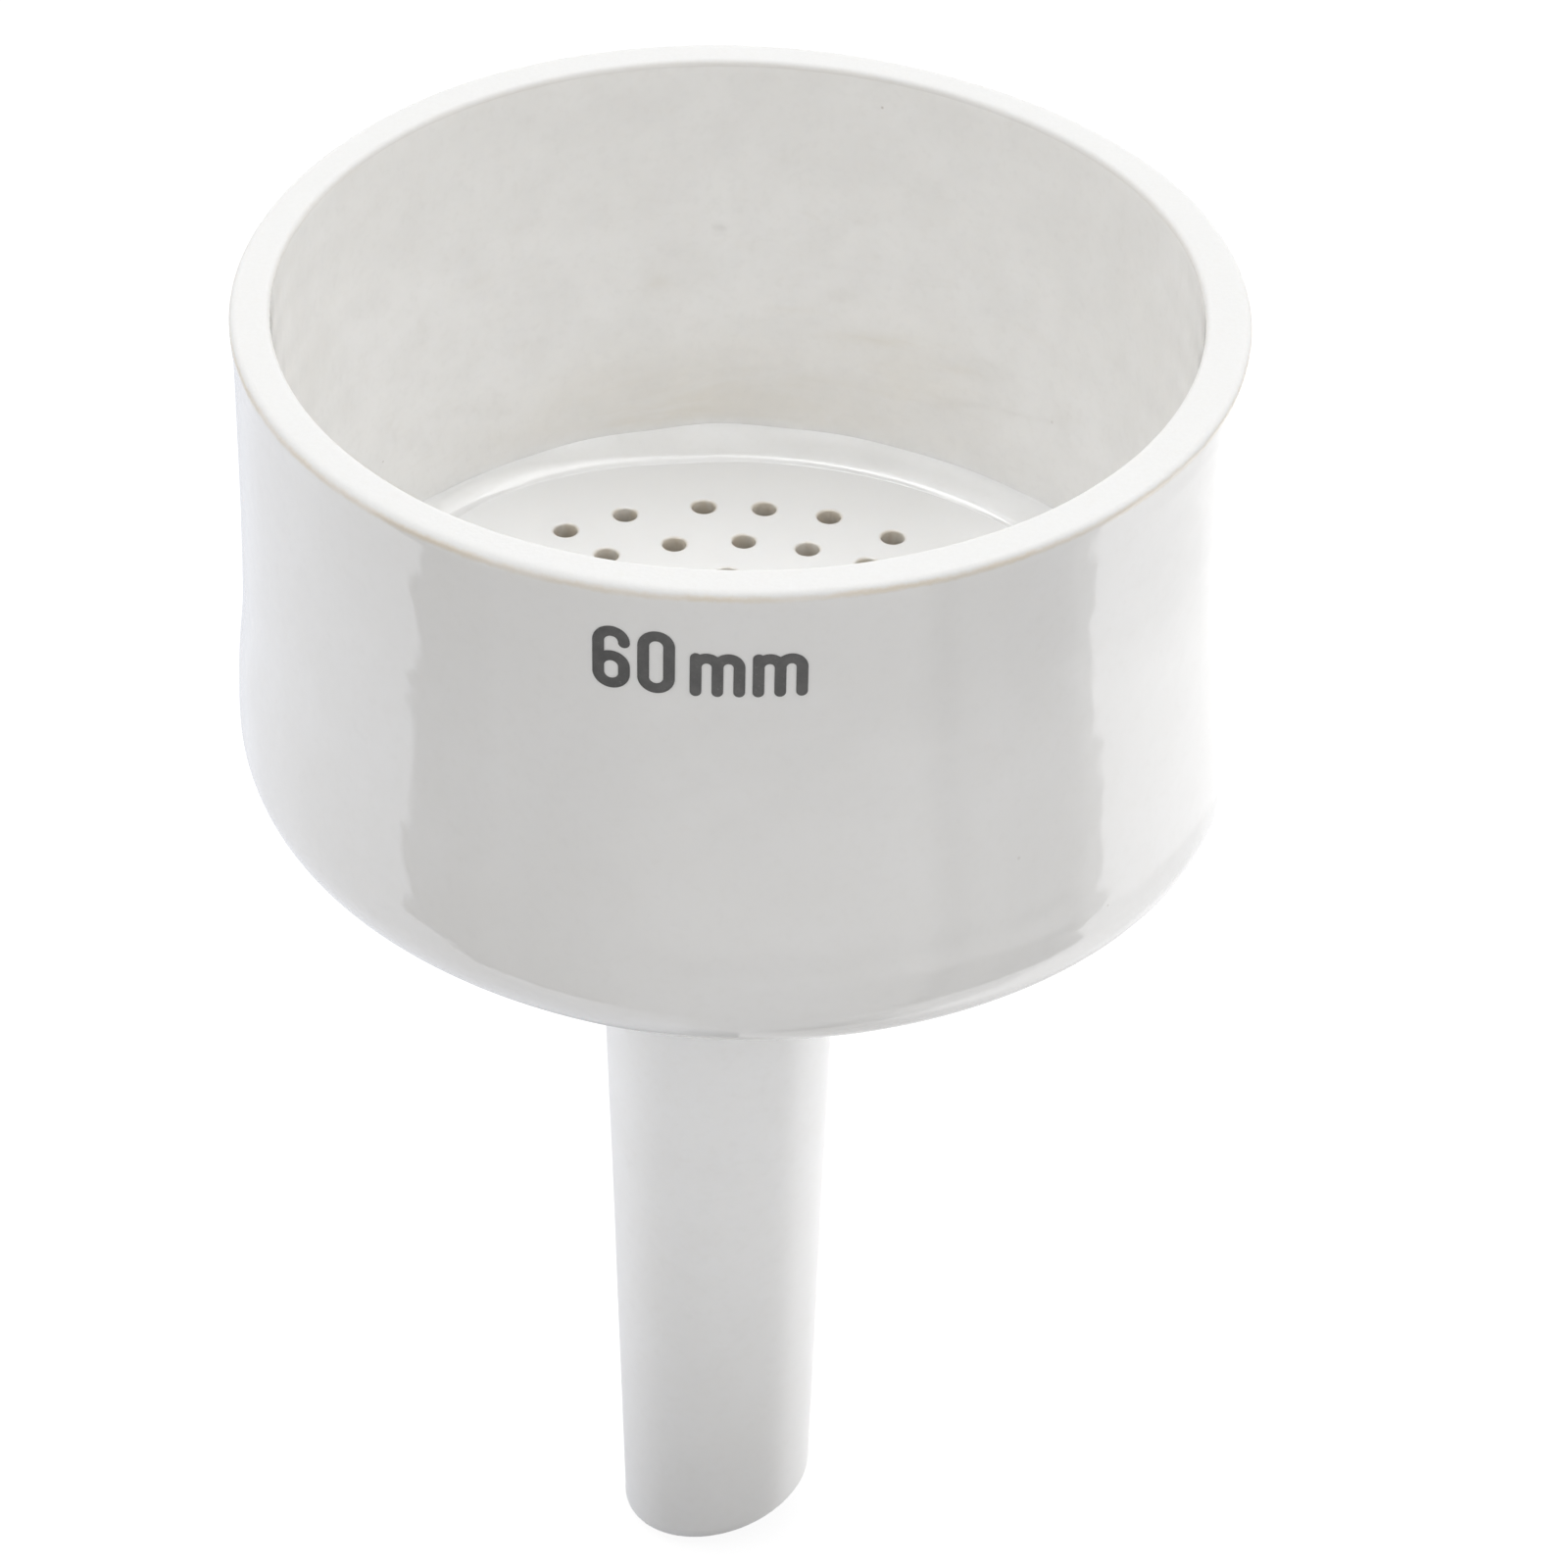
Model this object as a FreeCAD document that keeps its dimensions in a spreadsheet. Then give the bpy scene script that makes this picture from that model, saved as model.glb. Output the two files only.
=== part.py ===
import FreeCAD, Part
import Sketcher
import math
import os

# Buchner funnel for 60 mm: a glazed porcelain cup with a perforated filter plate and a tapered stem.
# The clay pieces are separate bodies, joined by layers and fillets of slip.
# Frame: origin on the funnel's axis at the level of the lowest point of the stem tip, +Z up,
# -Y the front, which carries the size mark. Millimetres and degrees.

Vector = FreeCAD.Vector
ORIGIN = Vector(0, 0, 0)
UP = Vector(0, 0, 1)
doc = FreeCAD.newDocument("buchner_funnel")

# ---------------------------------------------------------------- driving dimensions
DRIVING = [
    # cup
    ("rim_height", 102.0),            # level of the rim land
    ("mouth_radius", 30.0),           # inside radius at the rim: the nominal 60 mm
    ("rim_outer_radius", 32.66),
    ("rim_round_outer", 0.45),
    ("rim_round_inner", 0.4),
    ("waist_curve", 250.0),           # the wall is very slightly waisted
    ("belly_break_height", 77.0),
    ("belly_break_radius", 33.012),
    ("belly_curve", 60.0),
    ("belly_top_height", 73.17),
    ("belly_radius", 33.134),
    ("shoulder_height", 70.8),
    ("shoulder_curve", 5.0),
    ("dish_angle", 38.94),            # slope of the underside below the shoulder
    ("dish_start_radius", 25.177),
    ("dish_start_height", 61.981),
    ("dish_curve", 85.0),
    ("dish_axis_offset", 28.245),     # centre of the dish arcs, beyond the axis
    ("dish_centre_height", 128.09),
    ("dish_wall", 4.0),
    ("outlet_flat_radius", 9.0),      # flat round the outlet that the stem's shoulder meets
    ("outlet_radius", 7.0),
    ("ledge_height", 69.2),
    ("ledge_radius", 25.6),
    ("seat_bore_radius", 28.7),       # inside radius of the wall at the ledge
    # filter plate
    ("plate_radius", 28.4),
    ("plate_thickness", 3.0),
    ("land_radius", 26.3),            # the flat the paper lies on; outside it is the rebate
    ("rebate", 0.3),
    ("rebate_overcut", 2.0),          # the rebate's cut runs this far past the plate
    ("bedding", 0.3),                 # slip between two luted faces
    ("hole_diameter", 1.6),
    ("hole_round", 0.15),
    ("ring1_radius", 20.4), ("ring1_count", 27), ("ring1_phase", 58.65),
    ("ring2_radius", 16.4), ("ring2_count", 22), ("ring2_phase", 57.0),
    ("ring3_radius", 12.3), ("ring3_count", 16), ("ring3_phase", 94.6),
    ("ring4_radius", 8.2), ("ring4_count", 11), ("ring4_phase", 80.0),
    ("ring5_radius", 4.1), ("ring5_count", 6), ("ring5_phase", 70.0),
    # slip fillet above the plate
    ("fillet_rise", 1.4),
    ("fillet_curve", 3.5),
    # stem
    ("tip_radius", 6.49),
    ("stem_taper", 0.03),             # radius gained for each millimetre of height
    ("stem_start_height", -1.0),      # the tube is turned from here, then bevelled
    ("tip_bore_radius", 4.2),
    ("top_bore_radius", 4.8),
    ("spigot_radius", 6.7),
    ("bevel_angle", 15.4),
    ("bevel_turn", 10.5),             # the bevel's low side is this far past -X towards -Y
    ("bevel_reach", 20.0),            # the bevel's cut runs this far each side and down
    ("tip_round", 0.4),
    ("bead_bowl_radius", 11.3),
    ("bead_foot_height", 48.0),
    ("bead_curve", 6.0),
    # size mark
    ("mark_thickness", 0.08),
    ("mark_centre", -1.95),
    ("mark_base_height", 94.35),
    ("mark_cap_height", 4.6),
    ("mark_small_height", 3.2),
    ("mark_stroke", 0.72),
    ("mark_gap", 0.45),               # between characters; doubled between the words
    ("mark_digit_aspect", 0.5),       # width over height
    ("mark_small_aspect", 1.06),
]


def dish_height(radius, curve):
    """Formula for the height of a dish arc of a given curvature radius, at a radius."""
    return "=dish_centre_height - sqrt(%s^2 - (%s + dish_axis_offset)^2)" % (curve, radius)


def bore_radius(height):
    """Formula for the inside radius of the drafted wall at a level."""
    return "=seat_bore_radius + bore_draft * (%s - ledge_height)" % height


def stem_radius(height):
    """Formula for the outside radius of the tapered stem at a level."""
    return "=tip_radius + stem_taper * %s" % height


# Sheet formulas; each uses only cells above it.
DERIVED = [
    ("dish_inner_curve", "=dish_curve - dish_wall"),
    ("shoulder_end_radius",
     "=belly_radius - shoulder_curve + shoulder_curve * sin(dish_angle)"),
    ("shoulder_end_height", "=shoulder_height - shoulder_curve * cos(dish_angle)"),
    ("ledge_foot_height", dish_height("ledge_radius", "dish_inner_curve")),
    ("seat_height", dish_height("outlet_flat_radius", "dish_curve")),   # flat round the outlet
    ("spigot_top", dish_height("outlet_radius", "dish_inner_curve")),
    ("plate_bottom", "=ledge_height + bedding"),
    ("plate_top", "=plate_bottom + plate_thickness"),
    ("margin_height", "=plate_top - rebate"),                           # floor of the rebate
    ("rebate_cut_radius", "=plate_radius + rebate_overcut"),
    ("hole_radius", "=hole_diameter / 2"),
    ("fillet_top", "=plate_top + fillet_rise"),
    ("bore_draft", "=(mouth_radius - seat_bore_radius) / (rim_height - ledge_height)"),
    ("margin_bore_radius", bore_radius("margin_height")),
    ("fillet_bore_radius", bore_radius("fillet_top")),
    ("stem_shoulder_height", "=seat_height - bedding"),
    ("stem_shoulder_radius", stem_radius("stem_shoulder_height")),
    ("stem_start_radius", stem_radius("stem_start_height")),
    ("bead_foot_radius", stem_radius("bead_foot_height")),
    ("bead_bowl_height", dish_height("bead_bowl_radius", "dish_curve")),
    # The bevel meets the tip radius on its low side at this level, so that the rounded edge
    # there just touches the origin's level.
    ("bevel_tip_height", "=-tip_round * (tan(bevel_angle) + 1 / cos(bevel_angle) - 1)"),
    ("bevel_low", "=bevel_tip_height - (bevel_reach - tip_radius) * tan(bevel_angle)"),
    ("bevel_high", "=bevel_tip_height + (bevel_reach + tip_radius) * tan(bevel_angle)"),
    ("bevel_far", "=-bevel_reach"),
]

sheet = doc.addObject("Spreadsheet::Sheet", "Dims")
for row, (alias, content) in enumerate(DRIVING + DERIVED, start=1):
    sheet.set("A%d" % row, alias)
    sheet.set("B%d" % row, str(content))
    sheet.setAlias("B%d" % row, alias)
doc.recompute()
dim = {alias: float(sheet.get(alias)) for alias, _ in DRIVING + DERIVED}


# ---------------------------------------------------------------- sketches
def make_body(label):
    body = doc.addObject("PartDesign::Body", label)
    body.Label = label
    return body


def origin_feature(body, role):
    """Plane or axis of a body's origin."""
    for feature in body.Origin.OriginFeatures:
        if feature.Role == role:
            return feature
    raise RuntimeError("no origin feature " + role)


def new_sketch(body, name, role="XZ_Plane"):
    sketch = body.newObject("Sketcher::SketchObject", name)
    sketch.AttachmentSupport = [(origin_feature(body, role), "")]
    sketch.MapMode = "FlatFace"
    return sketch


def bind(sketch, name, expression, *constraint):
    """Add a named dimension driven by an expression."""
    sketch.renameConstraint(sketch.addConstraint(Sketcher.Constraint(*constraint)), name)
    sketch.setExpression("Constraints." + name, expression)


def draw_circle(sketch, name, radius_alias, x=0.0, y=0.0):
    """Circle with its radius bound to the sheet; its centre is left free."""
    radius = dim[radius_alias]
    circle = sketch.addGeometry(Part.Circle(Vector(x, y, 0), UP, radius), False)
    bind(sketch, name, "Dims." + radius_alias, "Radius", circle, radius)
    return circle


def centre_on_axis(sketch, circle):
    sketch.addConstraint(Sketcher.Constraint("Coincident", circle, 3, -1, 1))


def arc_centre(start, end, radius, turn):
    """Centre of the arc through two points; turn +1 puts it left of the chord, -1 right."""
    (x1, y1), (x2, y2) = start, end
    dx, dy = x2 - x1, y2 - y1
    half = math.hypot(dx, dy) / 2
    offset = math.sqrt(max(radius * radius - half * half, 0.0)) / (2 * half) * turn
    return (x1 + x2) / 2 - dy * offset, (y1 + y2) / 2 + dx * offset


def arc_between(start, end, radius, turn):
    """Arc from start to end, anticlockwise where turn is +1 and clockwise where it is -1."""
    x, y = arc_centre(start, end, radius, turn)
    first, last = (start, end) if turn > 0 else (end, start)
    first_angle = math.atan2(first[1] - y, first[0] - x)
    last_angle = math.atan2(last[1] - y, last[0] - x)
    if last_angle < first_angle:
        last_angle += 2 * math.pi
    return Part.ArcOfCircle(Part.Circle(Vector(x, y, 0), UP, radius), first_angle, last_angle)


def profile(body, name, corners):
    """Closed profile on the XZ plane, bound to the sheet throughout.

    Each corner is (x alias, z alias). Where the segment that starts there is an arc, the alias
    of its radius and its turn (+1 anticlockwise, -1 clockwise) follow."""
    sketch = new_sketch(body, name)
    points = [(dim[corner[0]], dim[corner[1]]) for corner in corners]
    count = len(corners)
    ends = []       # vertex numbers of each segment's start and end
    for i, corner in enumerate(corners):
        start, end = points[i], points[(i + 1) % count]
        if len(corner) == 2:
            segment = Part.LineSegment(Vector(*start, 0), Vector(*end, 0))
            ends.append((1, 2))
        else:
            curve, turn = corner[2:]
            segment = arc_between(start, end, dim[curve], turn)
            ends.append((1, 2) if turn > 0 else (2, 1))
        sketch.addGeometry(segment, False)
    for i in range(count):
        following = (i + 1) % count
        sketch.addConstraint(Sketcher.Constraint("Coincident", i, ends[i][1],
                                                 following, ends[following][0]))
    for i, corner in enumerate(corners):
        vertex = ends[i][0]
        bind(sketch, "p%dr" % i, "Dims." + corner[0], "DistanceX", -1, 1, i, vertex, points[i][0])
        bind(sketch, "p%dz" % i, "Dims." + corner[1], "DistanceY", -1, 1, i, vertex, points[i][1])
    for i, corner in enumerate(corners):
        if len(corner) > 2:
            bind(sketch, "curve%d" % i, "Dims." + corner[2], "Radius", i, dim[corner[2]])
    return sketch


# ---------------------------------------------------------------- features
def revolve(body, name, corners):
    """Turn a profile about the funnel's axis."""
    sketch = profile(body, body.Label + "_profile", corners)
    feature = body.newObject("PartDesign::Revolution", name)
    feature.Profile = sketch
    feature.ReferenceAxis = (sketch, ["V_Axis"])
    feature.Angle = 360.0
    body.Tip = feature
    doc.recompute()
    return feature


def make_ring(label, corners):
    """Body that is a single turned ring of slip, named LABEL_slip."""
    body = make_body(label + "_slip")
    revolve(body, label + "_ring", corners)
    return body


def cut_through(body, name, sketch, side):
    """Pocket through everything; side is the property that sets which way it runs."""
    feature = body.newObject("PartDesign::Pocket", name)
    feature.Profile = sketch
    feature.Type = 1          # through all
    setattr(feature, side, True)
    body.Tip = feature
    doc.recompute()
    return feature


def ring_edges(feature, radius, height, tolerance=0.02):
    """Names of a feature's circular edges of one radius at one height."""
    return ["Edge%d" % i for i, edge in enumerate(feature.Shape.Edges, start=1)
            if isinstance(edge.Curve, Part.Circle)
            and abs(edge.Curve.Radius - radius) < tolerance
            and abs(edge.Curve.Center.z - height) < tolerance]


def add_fillet(body, name, edges, size_alias):
    """Round edges of the body's present tip."""
    base = body.Tip
    feature = body.newObject("PartDesign::Fillet", name)
    feature.Base = (base, edges)
    feature.setExpression("Radius", "Dims." + size_alias)
    body.Tip = feature
    doc.recompute()


def check_removed(what, volume, least, most):
    if not least < volume < most:
        raise RuntimeError("%s didn't cut properly: %.1f" % (what, volume))


# ---------------------------------------------------------------- bowl
def make_bowl():
    """Drafted inside, ledge, chamber, outlet, dished underside, shoulder, belly, waisted wall."""
    body = make_body("bowl")
    turned = revolve(body, "bowl_turned", [
        ("mouth_radius", "rim_height"),
        ("seat_bore_radius", "ledge_height"),
        ("ledge_radius", "ledge_height"),
        ("ledge_radius", "ledge_foot_height", "dish_inner_curve", -1),
        ("outlet_radius", "spigot_top"),
        ("outlet_radius", "seat_height"),
        ("outlet_flat_radius", "seat_height", "dish_curve", 1),
        ("dish_start_radius", "dish_start_height"),
        ("shoulder_end_radius", "shoulder_end_height", "shoulder_curve", 1),
        ("belly_radius", "shoulder_height"),
        ("belly_radius", "belly_top_height", "belly_curve", 1),
        ("belly_break_radius", "belly_break_height", "waist_curve", -1),
        ("rim_outer_radius", "rim_height"),
    ])
    outer_edges = ring_edges(turned, dim["rim_outer_radius"], dim["rim_height"])
    add_fillet(body, "rim_outer_round", outer_edges, "rim_round_outer")
    inner_edges = ring_edges(body.Tip, dim["mouth_radius"], dim["rim_height"])
    add_fillet(body, "rim_inner_round", inner_edges, "rim_round_inner")
    return body


# ---------------------------------------------------------------- filter plate
def hole_in_ring(body, ring):
    """First hole of a ring, at the ring's radius and phase."""
    radius, phase = dim[ring + "_radius"], math.radians(dim[ring + "_phase"])
    x, y = radius * math.cos(phase), radius * math.sin(phase)
    sketch = new_sketch(body, ring + "_circle", "XY_Plane")
    circle = draw_circle(sketch, "bore", "hole_radius", x, y)
    for kind, value, function in (("DistanceX", x, "cos"), ("DistanceY", y, "sin")):
        place = "Dims.%s_radius * %s(Dims.%s_phase)" % (ring, function, ring)
        bind(sketch, function + "_place", place, kind, -1, 1, circle, 3, value)
    return cut_through(body, ring + "_hole", sketch, "Reversed")


def make_plate():
    """Flat disc with five rings of straight holes round one centre hole, its upper margin
    rebated to key the slip fillet. Drawn from its lower face, then raised onto the bedding."""
    body = make_body("filter_plate")
    body.setExpression("Placement.Base.z", "Dims.plate_bottom")
    outline = new_sketch(body, "plate_outline", "XY_Plane")
    centre_on_axis(outline, draw_circle(outline, "rim", "plate_radius"))
    disc = body.newObject("PartDesign::Pad", "plate_disc")
    disc.Profile = outline
    disc.setExpression("Length", "Dims.plate_thickness")
    body.Tip = disc
    doc.recompute()
    full_volume = body.Shape.Volume

    margin = new_sketch(body, "margin_ring", "XY_Plane")
    margin.setExpression("AttachmentOffset.Base.z", "Dims.plate_thickness - Dims.rebate")
    centre_on_axis(margin, draw_circle(margin, "land", "land_radius"))
    centre_on_axis(margin, draw_circle(margin, "beyond", "rebate_cut_radius"))
    cut_through(body, "margin_rebate", margin, "Reversed")
    disc_volume = body.Shape.Volume
    rebate_area = math.pi * (dim["plate_radius"] ** 2 - dim["land_radius"] ** 2)
    expected = rebate_area * dim["rebate"]
    check_removed("plate rebate", full_volume - disc_volume, 0.99 * expected, 1.01 * expected)

    centre = new_sketch(body, "centre_hole_circle", "XY_Plane")
    centre_on_axis(centre, draw_circle(centre, "bore", "hole_radius"))
    cut_through(body, "centre_hole", centre, "Reversed")
    hole_count = 1
    for number in (5, 4, 3, 2, 1):
        ring = "ring%d" % number
        first = hole_in_ring(body, ring)
        pattern = body.newObject("PartDesign::PolarPattern", ring + "_holes")
        pattern.Originals = [first]
        pattern.Axis = (origin_feature(body, "Z_Axis"), [""])
        pattern.Angle = 360.0
        pattern.setExpression("Occurrences", "Dims.%s_count" % ring)
        body.Tip = pattern
        doc.recompute()
        hole_count += int(dim[ring + "_count"])
    expected = hole_count * math.pi * dim["hole_radius"] ** 2 * dim["plate_thickness"]
    check_removed("plate holes", disc_volume - body.Shape.Volume,
                  0.98 * expected, 1.02 * expected)

    mouths = ring_edges(body.Tip, dim["hole_radius"], dim["plate_thickness"])
    add_fillet(body, "hole_mouth_rounds", mouths, "hole_round")
    return body


# ---------------------------------------------------------------- slip round and under the plate
def make_plate_bedding():
    """Layer on the ledge, carried up between the plate's edge and the wall."""
    return make_ring("plate_bedding", [
        ("ledge_radius", "ledge_height"),
        ("seat_bore_radius", "ledge_height"),
        ("margin_bore_radius", "margin_height"),
        ("plate_radius", "margin_height"),
        ("plate_radius", "plate_bottom"),
        ("ledge_radius", "plate_bottom"),
    ])


def make_plate_fillet():
    """Hollow fillet that fills the plate's rebate and runs up the wall."""
    return make_ring("plate_fillet", [
        ("land_radius", "plate_top"),
        ("land_radius", "margin_height"),
        ("margin_bore_radius", "margin_height"),
        ("fillet_bore_radius", "fillet_top", "fillet_curve", -1),
    ])


# ---------------------------------------------------------------- stem
def make_stem():
    """Tapered tube: spigot in the bowl's outlet, shoulder below the flat round it, bevelled tip."""
    body = make_body("stem")
    revolve(body, "stem_tube", [
        ("tip_bore_radius", "stem_start_height"),
        ("stem_start_radius", "stem_start_height"),
        ("stem_shoulder_radius", "stem_shoulder_height"),
        ("spigot_radius", "stem_shoulder_height"),
        ("spigot_radius", "spigot_top"),
        ("top_bore_radius", "spigot_top"),
    ])
    tube_volume = body.Shape.Volume

    # Everything below a sloping line is cut away, with the low side at -X in the body.
    below_bevel = profile(body, "bevel_profile", [
        ("bevel_far", "bevel_low"),
        ("bevel_far", "bevel_far"),
        ("bevel_reach", "bevel_far"),
        ("bevel_reach", "bevel_high"),
    ])
    bevel = cut_through(body, "tip_bevel", below_bevel, "Midplane")
    check_removed("tip bevel", tube_volume - body.Shape.Volume, 100.0, 400.0)

    # The cut's two oval edges are the only wide ones near the tip.
    tip_zone_top, least_oval_width = 5.0, 5.0
    ovals = ["Edge%d" % i for i, edge in enumerate(bevel.Shape.Edges, start=1)
             if edge.BoundBox.ZMax < tip_zone_top and edge.BoundBox.XLength > least_oval_width]
    add_fillet(body, "tip_rounds", ovals, "tip_round")
    mouth = ring_edges(body.Tip, dim["top_bore_radius"], dim["spigot_top"])
    add_fillet(body, "spigot_mouth_round", mouth, "tip_round")

    body.Placement = FreeCAD.Placement(ORIGIN, FreeCAD.Rotation(UP, dim["bevel_turn"]))
    body.setExpression("Placement.Rotation.Angle", "Dims.bevel_turn")
    doc.recompute()
    return body


# ---------------------------------------------------------------- slip between stem and bowl
def make_stem_bedding():
    """Layer on the stem's shoulder, carried up round the spigot."""
    return make_ring("stem_bedding", [
        ("spigot_radius", "stem_shoulder_height"),
        ("stem_shoulder_radius", "stem_shoulder_height"),
        ("stem_shoulder_radius", "seat_height"),
        ("outlet_radius", "seat_height"),
        ("outlet_radius", "spigot_top"),
        ("spigot_radius", "spigot_top"),
    ])


def make_stem_fillet():
    """Hollow bead in the corner between the stem and the bowl's underside."""
    return make_ring("stem_fillet", [
        ("bead_foot_radius", "bead_foot_height", "bead_curve", -1),
        ("bead_bowl_radius", "bead_bowl_height", "dish_curve", -1),
        ("outlet_flat_radius", "seat_height"),
        ("stem_shoulder_radius", "seat_height"),
        ("stem_shoulder_radius", "stem_shoulder_height"),
    ])


# ---------------------------------------------------------------- size mark
# "60 mm" in plain even strokes, a thin fired-on layer that follows the wall. Characters are
# straight prisms from the front to the axis, cut to a thin shell on the wall's waist surface.
PRISM_DEPTH = 40.0
BOWL_OF_SIX = 0.6         # height of the six's closed bowl over the digit's height
SHELL_MARGIN = 1.0        # shell above and below the characters
SHELL_SWEEP = 90.0        # centred on the front


def slab(x0, x1, z0, z1):
    return Part.makeBox(x1 - x0, PRISM_DEPTH, z1 - z0, Vector(x0, -PRISM_DEPTH, z0))


def rod(x, z, radius):
    return Part.makeCylinder(radius, PRISM_DEPTH, Vector(x, -PRISM_DEPTH, z), Vector(0, 1, 0))


def pill(x0, x1, z0, z1):
    """Upright bar with half-round ends."""
    radius = (x1 - x0) / 2
    middle = (x0 + x1) / 2
    ends = [rod(middle, z0 + radius, radius), rod(middle, z1 - radius, radius)]
    return slab(x0, x1, z0 + radius, z1 - radius).fuse(ends)


def hollow_pill(x0, x1, z0, z1, stroke):
    inside = pill(x0 + stroke, x1 - stroke, z0 + stroke, z1 - stroke)
    return pill(x0, x1, z0, z1).cut(inside)


def zero(x, z, width, height, stroke):
    return hollow_pill(x, x + width, z, z + height, stroke)


def six(x, z, width, height, stroke):
    """Round bowl below, its left side carried up and over to a short end."""
    bowl_part = zero(x, z, width, BOWL_OF_SIX * height, stroke)
    frame = zero(x, z, width, height, stroke)
    keep_left = slab(x, x + width / 2, z + width / 2, z + height)
    keep_top = slab(x, x + width, z + height - width / 2, z + height)
    end = rod(x + width - stroke / 2, z + height - width / 2, stroke / 2)
    return bowl_part.fuse([frame.common(keep_left.fuse(keep_top)), end])


def small_m(x, z, width, height, stroke):
    """Three uprights under two arches."""
    arch_width = (width + stroke) / 2
    parts = []
    for k in (0, 1):
        x0 = x + k * (width - stroke) / 2
        x1 = x0 + arch_width
        # The inner pill runs down to the outer one's foot.
        arch = pill(x0, x1, z - height, z + height).cut(
            pill(x0 + stroke, x1 - stroke, z - height, z + height - stroke))
        parts.append(arch.common(slab(x0, x1, z + stroke / 2, z + height)))
        parts.append(rod(x1 - stroke / 2, z + stroke / 2, stroke / 2))
    return pill(x, x + stroke, z, z + height).fuse(parts)


def make_characters():
    cap, small, gap = dim["mark_cap_height"], dim["mark_small_height"], dim["mark_gap"]
    digit_width = dim["mark_digit_aspect"] * cap
    small_width = dim["mark_small_aspect"] * small
    # draw function, width, height, space after
    text = [
        (six, digit_width, cap, gap),
        (zero, digit_width, cap, 2 * gap),
        (small_m, small_width, small, gap),
        (small_m, small_width, small, 0.0),
    ]
    x = dim["mark_centre"] - sum(width + space for _, width, _, space in text) / 2
    characters = []
    for draw, width, height, space in text:
        characters.append(draw(x, dim["mark_base_height"], width, height, dim["mark_stroke"]))
        x += width + space
    return characters


def make_mark_shell():
    """Thin shell over the front of the wall; its inner face is the wall's own waist surface."""
    centre_x, centre_z = arc_centre((dim["belly_break_radius"], dim["belly_break_height"]),
                                    (dim["rim_outer_radius"], dim["rim_height"]),
                                    dim["waist_curve"], -1)

    def on_waist(height, offset):
        reach = dim["waist_curve"] - offset
        return Vector(centre_x - math.sqrt(reach ** 2 - (height - centre_z) ** 2), 0, height)

    bottom = dim["mark_base_height"] - SHELL_MARGIN
    top = dim["mark_base_height"] + dim["mark_cap_height"] + SHELL_MARGIN
    levels = (bottom, (bottom + top) / 2, top)
    inner = [on_waist(height, 0) for height in levels]
    outer = [on_waist(height, dim["mark_thickness"]) for height in reversed(levels)]
    section = Part.Face(Part.Wire([
        Part.Arc(*inner).toShape(),
        Part.LineSegment(inner[-1], outer[0]).toShape(),
        Part.Arc(*outer).toShape(),
        Part.LineSegment(outer[-1], inner[0]).toShape(),
    ]))
    section.rotate(ORIGIN, UP, -90.0 - SHELL_SWEEP / 2)
    return section.revolve(ORIGIN, UP, SHELL_SWEEP)


def make_size_mark():
    shell = make_mark_shell()
    solids = []
    for character in make_characters():
        solids.extend(character.removeSplitter().common(shell).Solids)
    feature = doc.addObject("Part::Feature", "size_mark")
    feature.Label = "size_mark"
    feature.Shape = Part.makeCompound(solids)
    doc.recompute()
    return feature


# ---------------------------------------------------------------- build, check and export
# piece, number of solids
PIECES = [
    (make_bowl(), 1),
    (make_plate(), 1),
    (make_plate_bedding(), 1),
    (make_plate_fillet(), 1),
    (make_stem(), 1),
    (make_stem_bedding(), 1),
    (make_stem_fillet(), 1),
    (make_size_mark(), 4),
]
for obj in doc.Objects:
    for word in obj.State:
        if word in ("Invalid", "Error"):
            raise RuntimeError("%s is %s" % (obj.Name, word))
for piece, solid_count in PIECES:
    shape = piece.Shape
    if shape.isNull() or not shape.isValid():
        raise RuntimeError("%s has no valid shape" % piece.Label)
    if len(shape.Solids) != solid_count:
        raise RuntimeError("%s has %d solids" % (piece.Label, len(shape.Solids)))

os.makedirs("parts", exist_ok=True)
for piece, _ in PIECES:
    piece.Shape.exportStep("parts/%s.step" % piece.Label)
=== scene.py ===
# A glazed porcelain filter funnel: a bowl with a perforated plate, on a stem with a bevelled tip.
# Its axis stands on Z with the tip near z = 0 and the rim on top; the size mark faces -Y, the front,
# and +X is to the right. The pieces are worked out in millimetres and made in metres.
import math

import bpy
import numpy as np
from mathutils import Matrix, Vector
from mathutils.geometry import delaunay_2d_cdt


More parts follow.
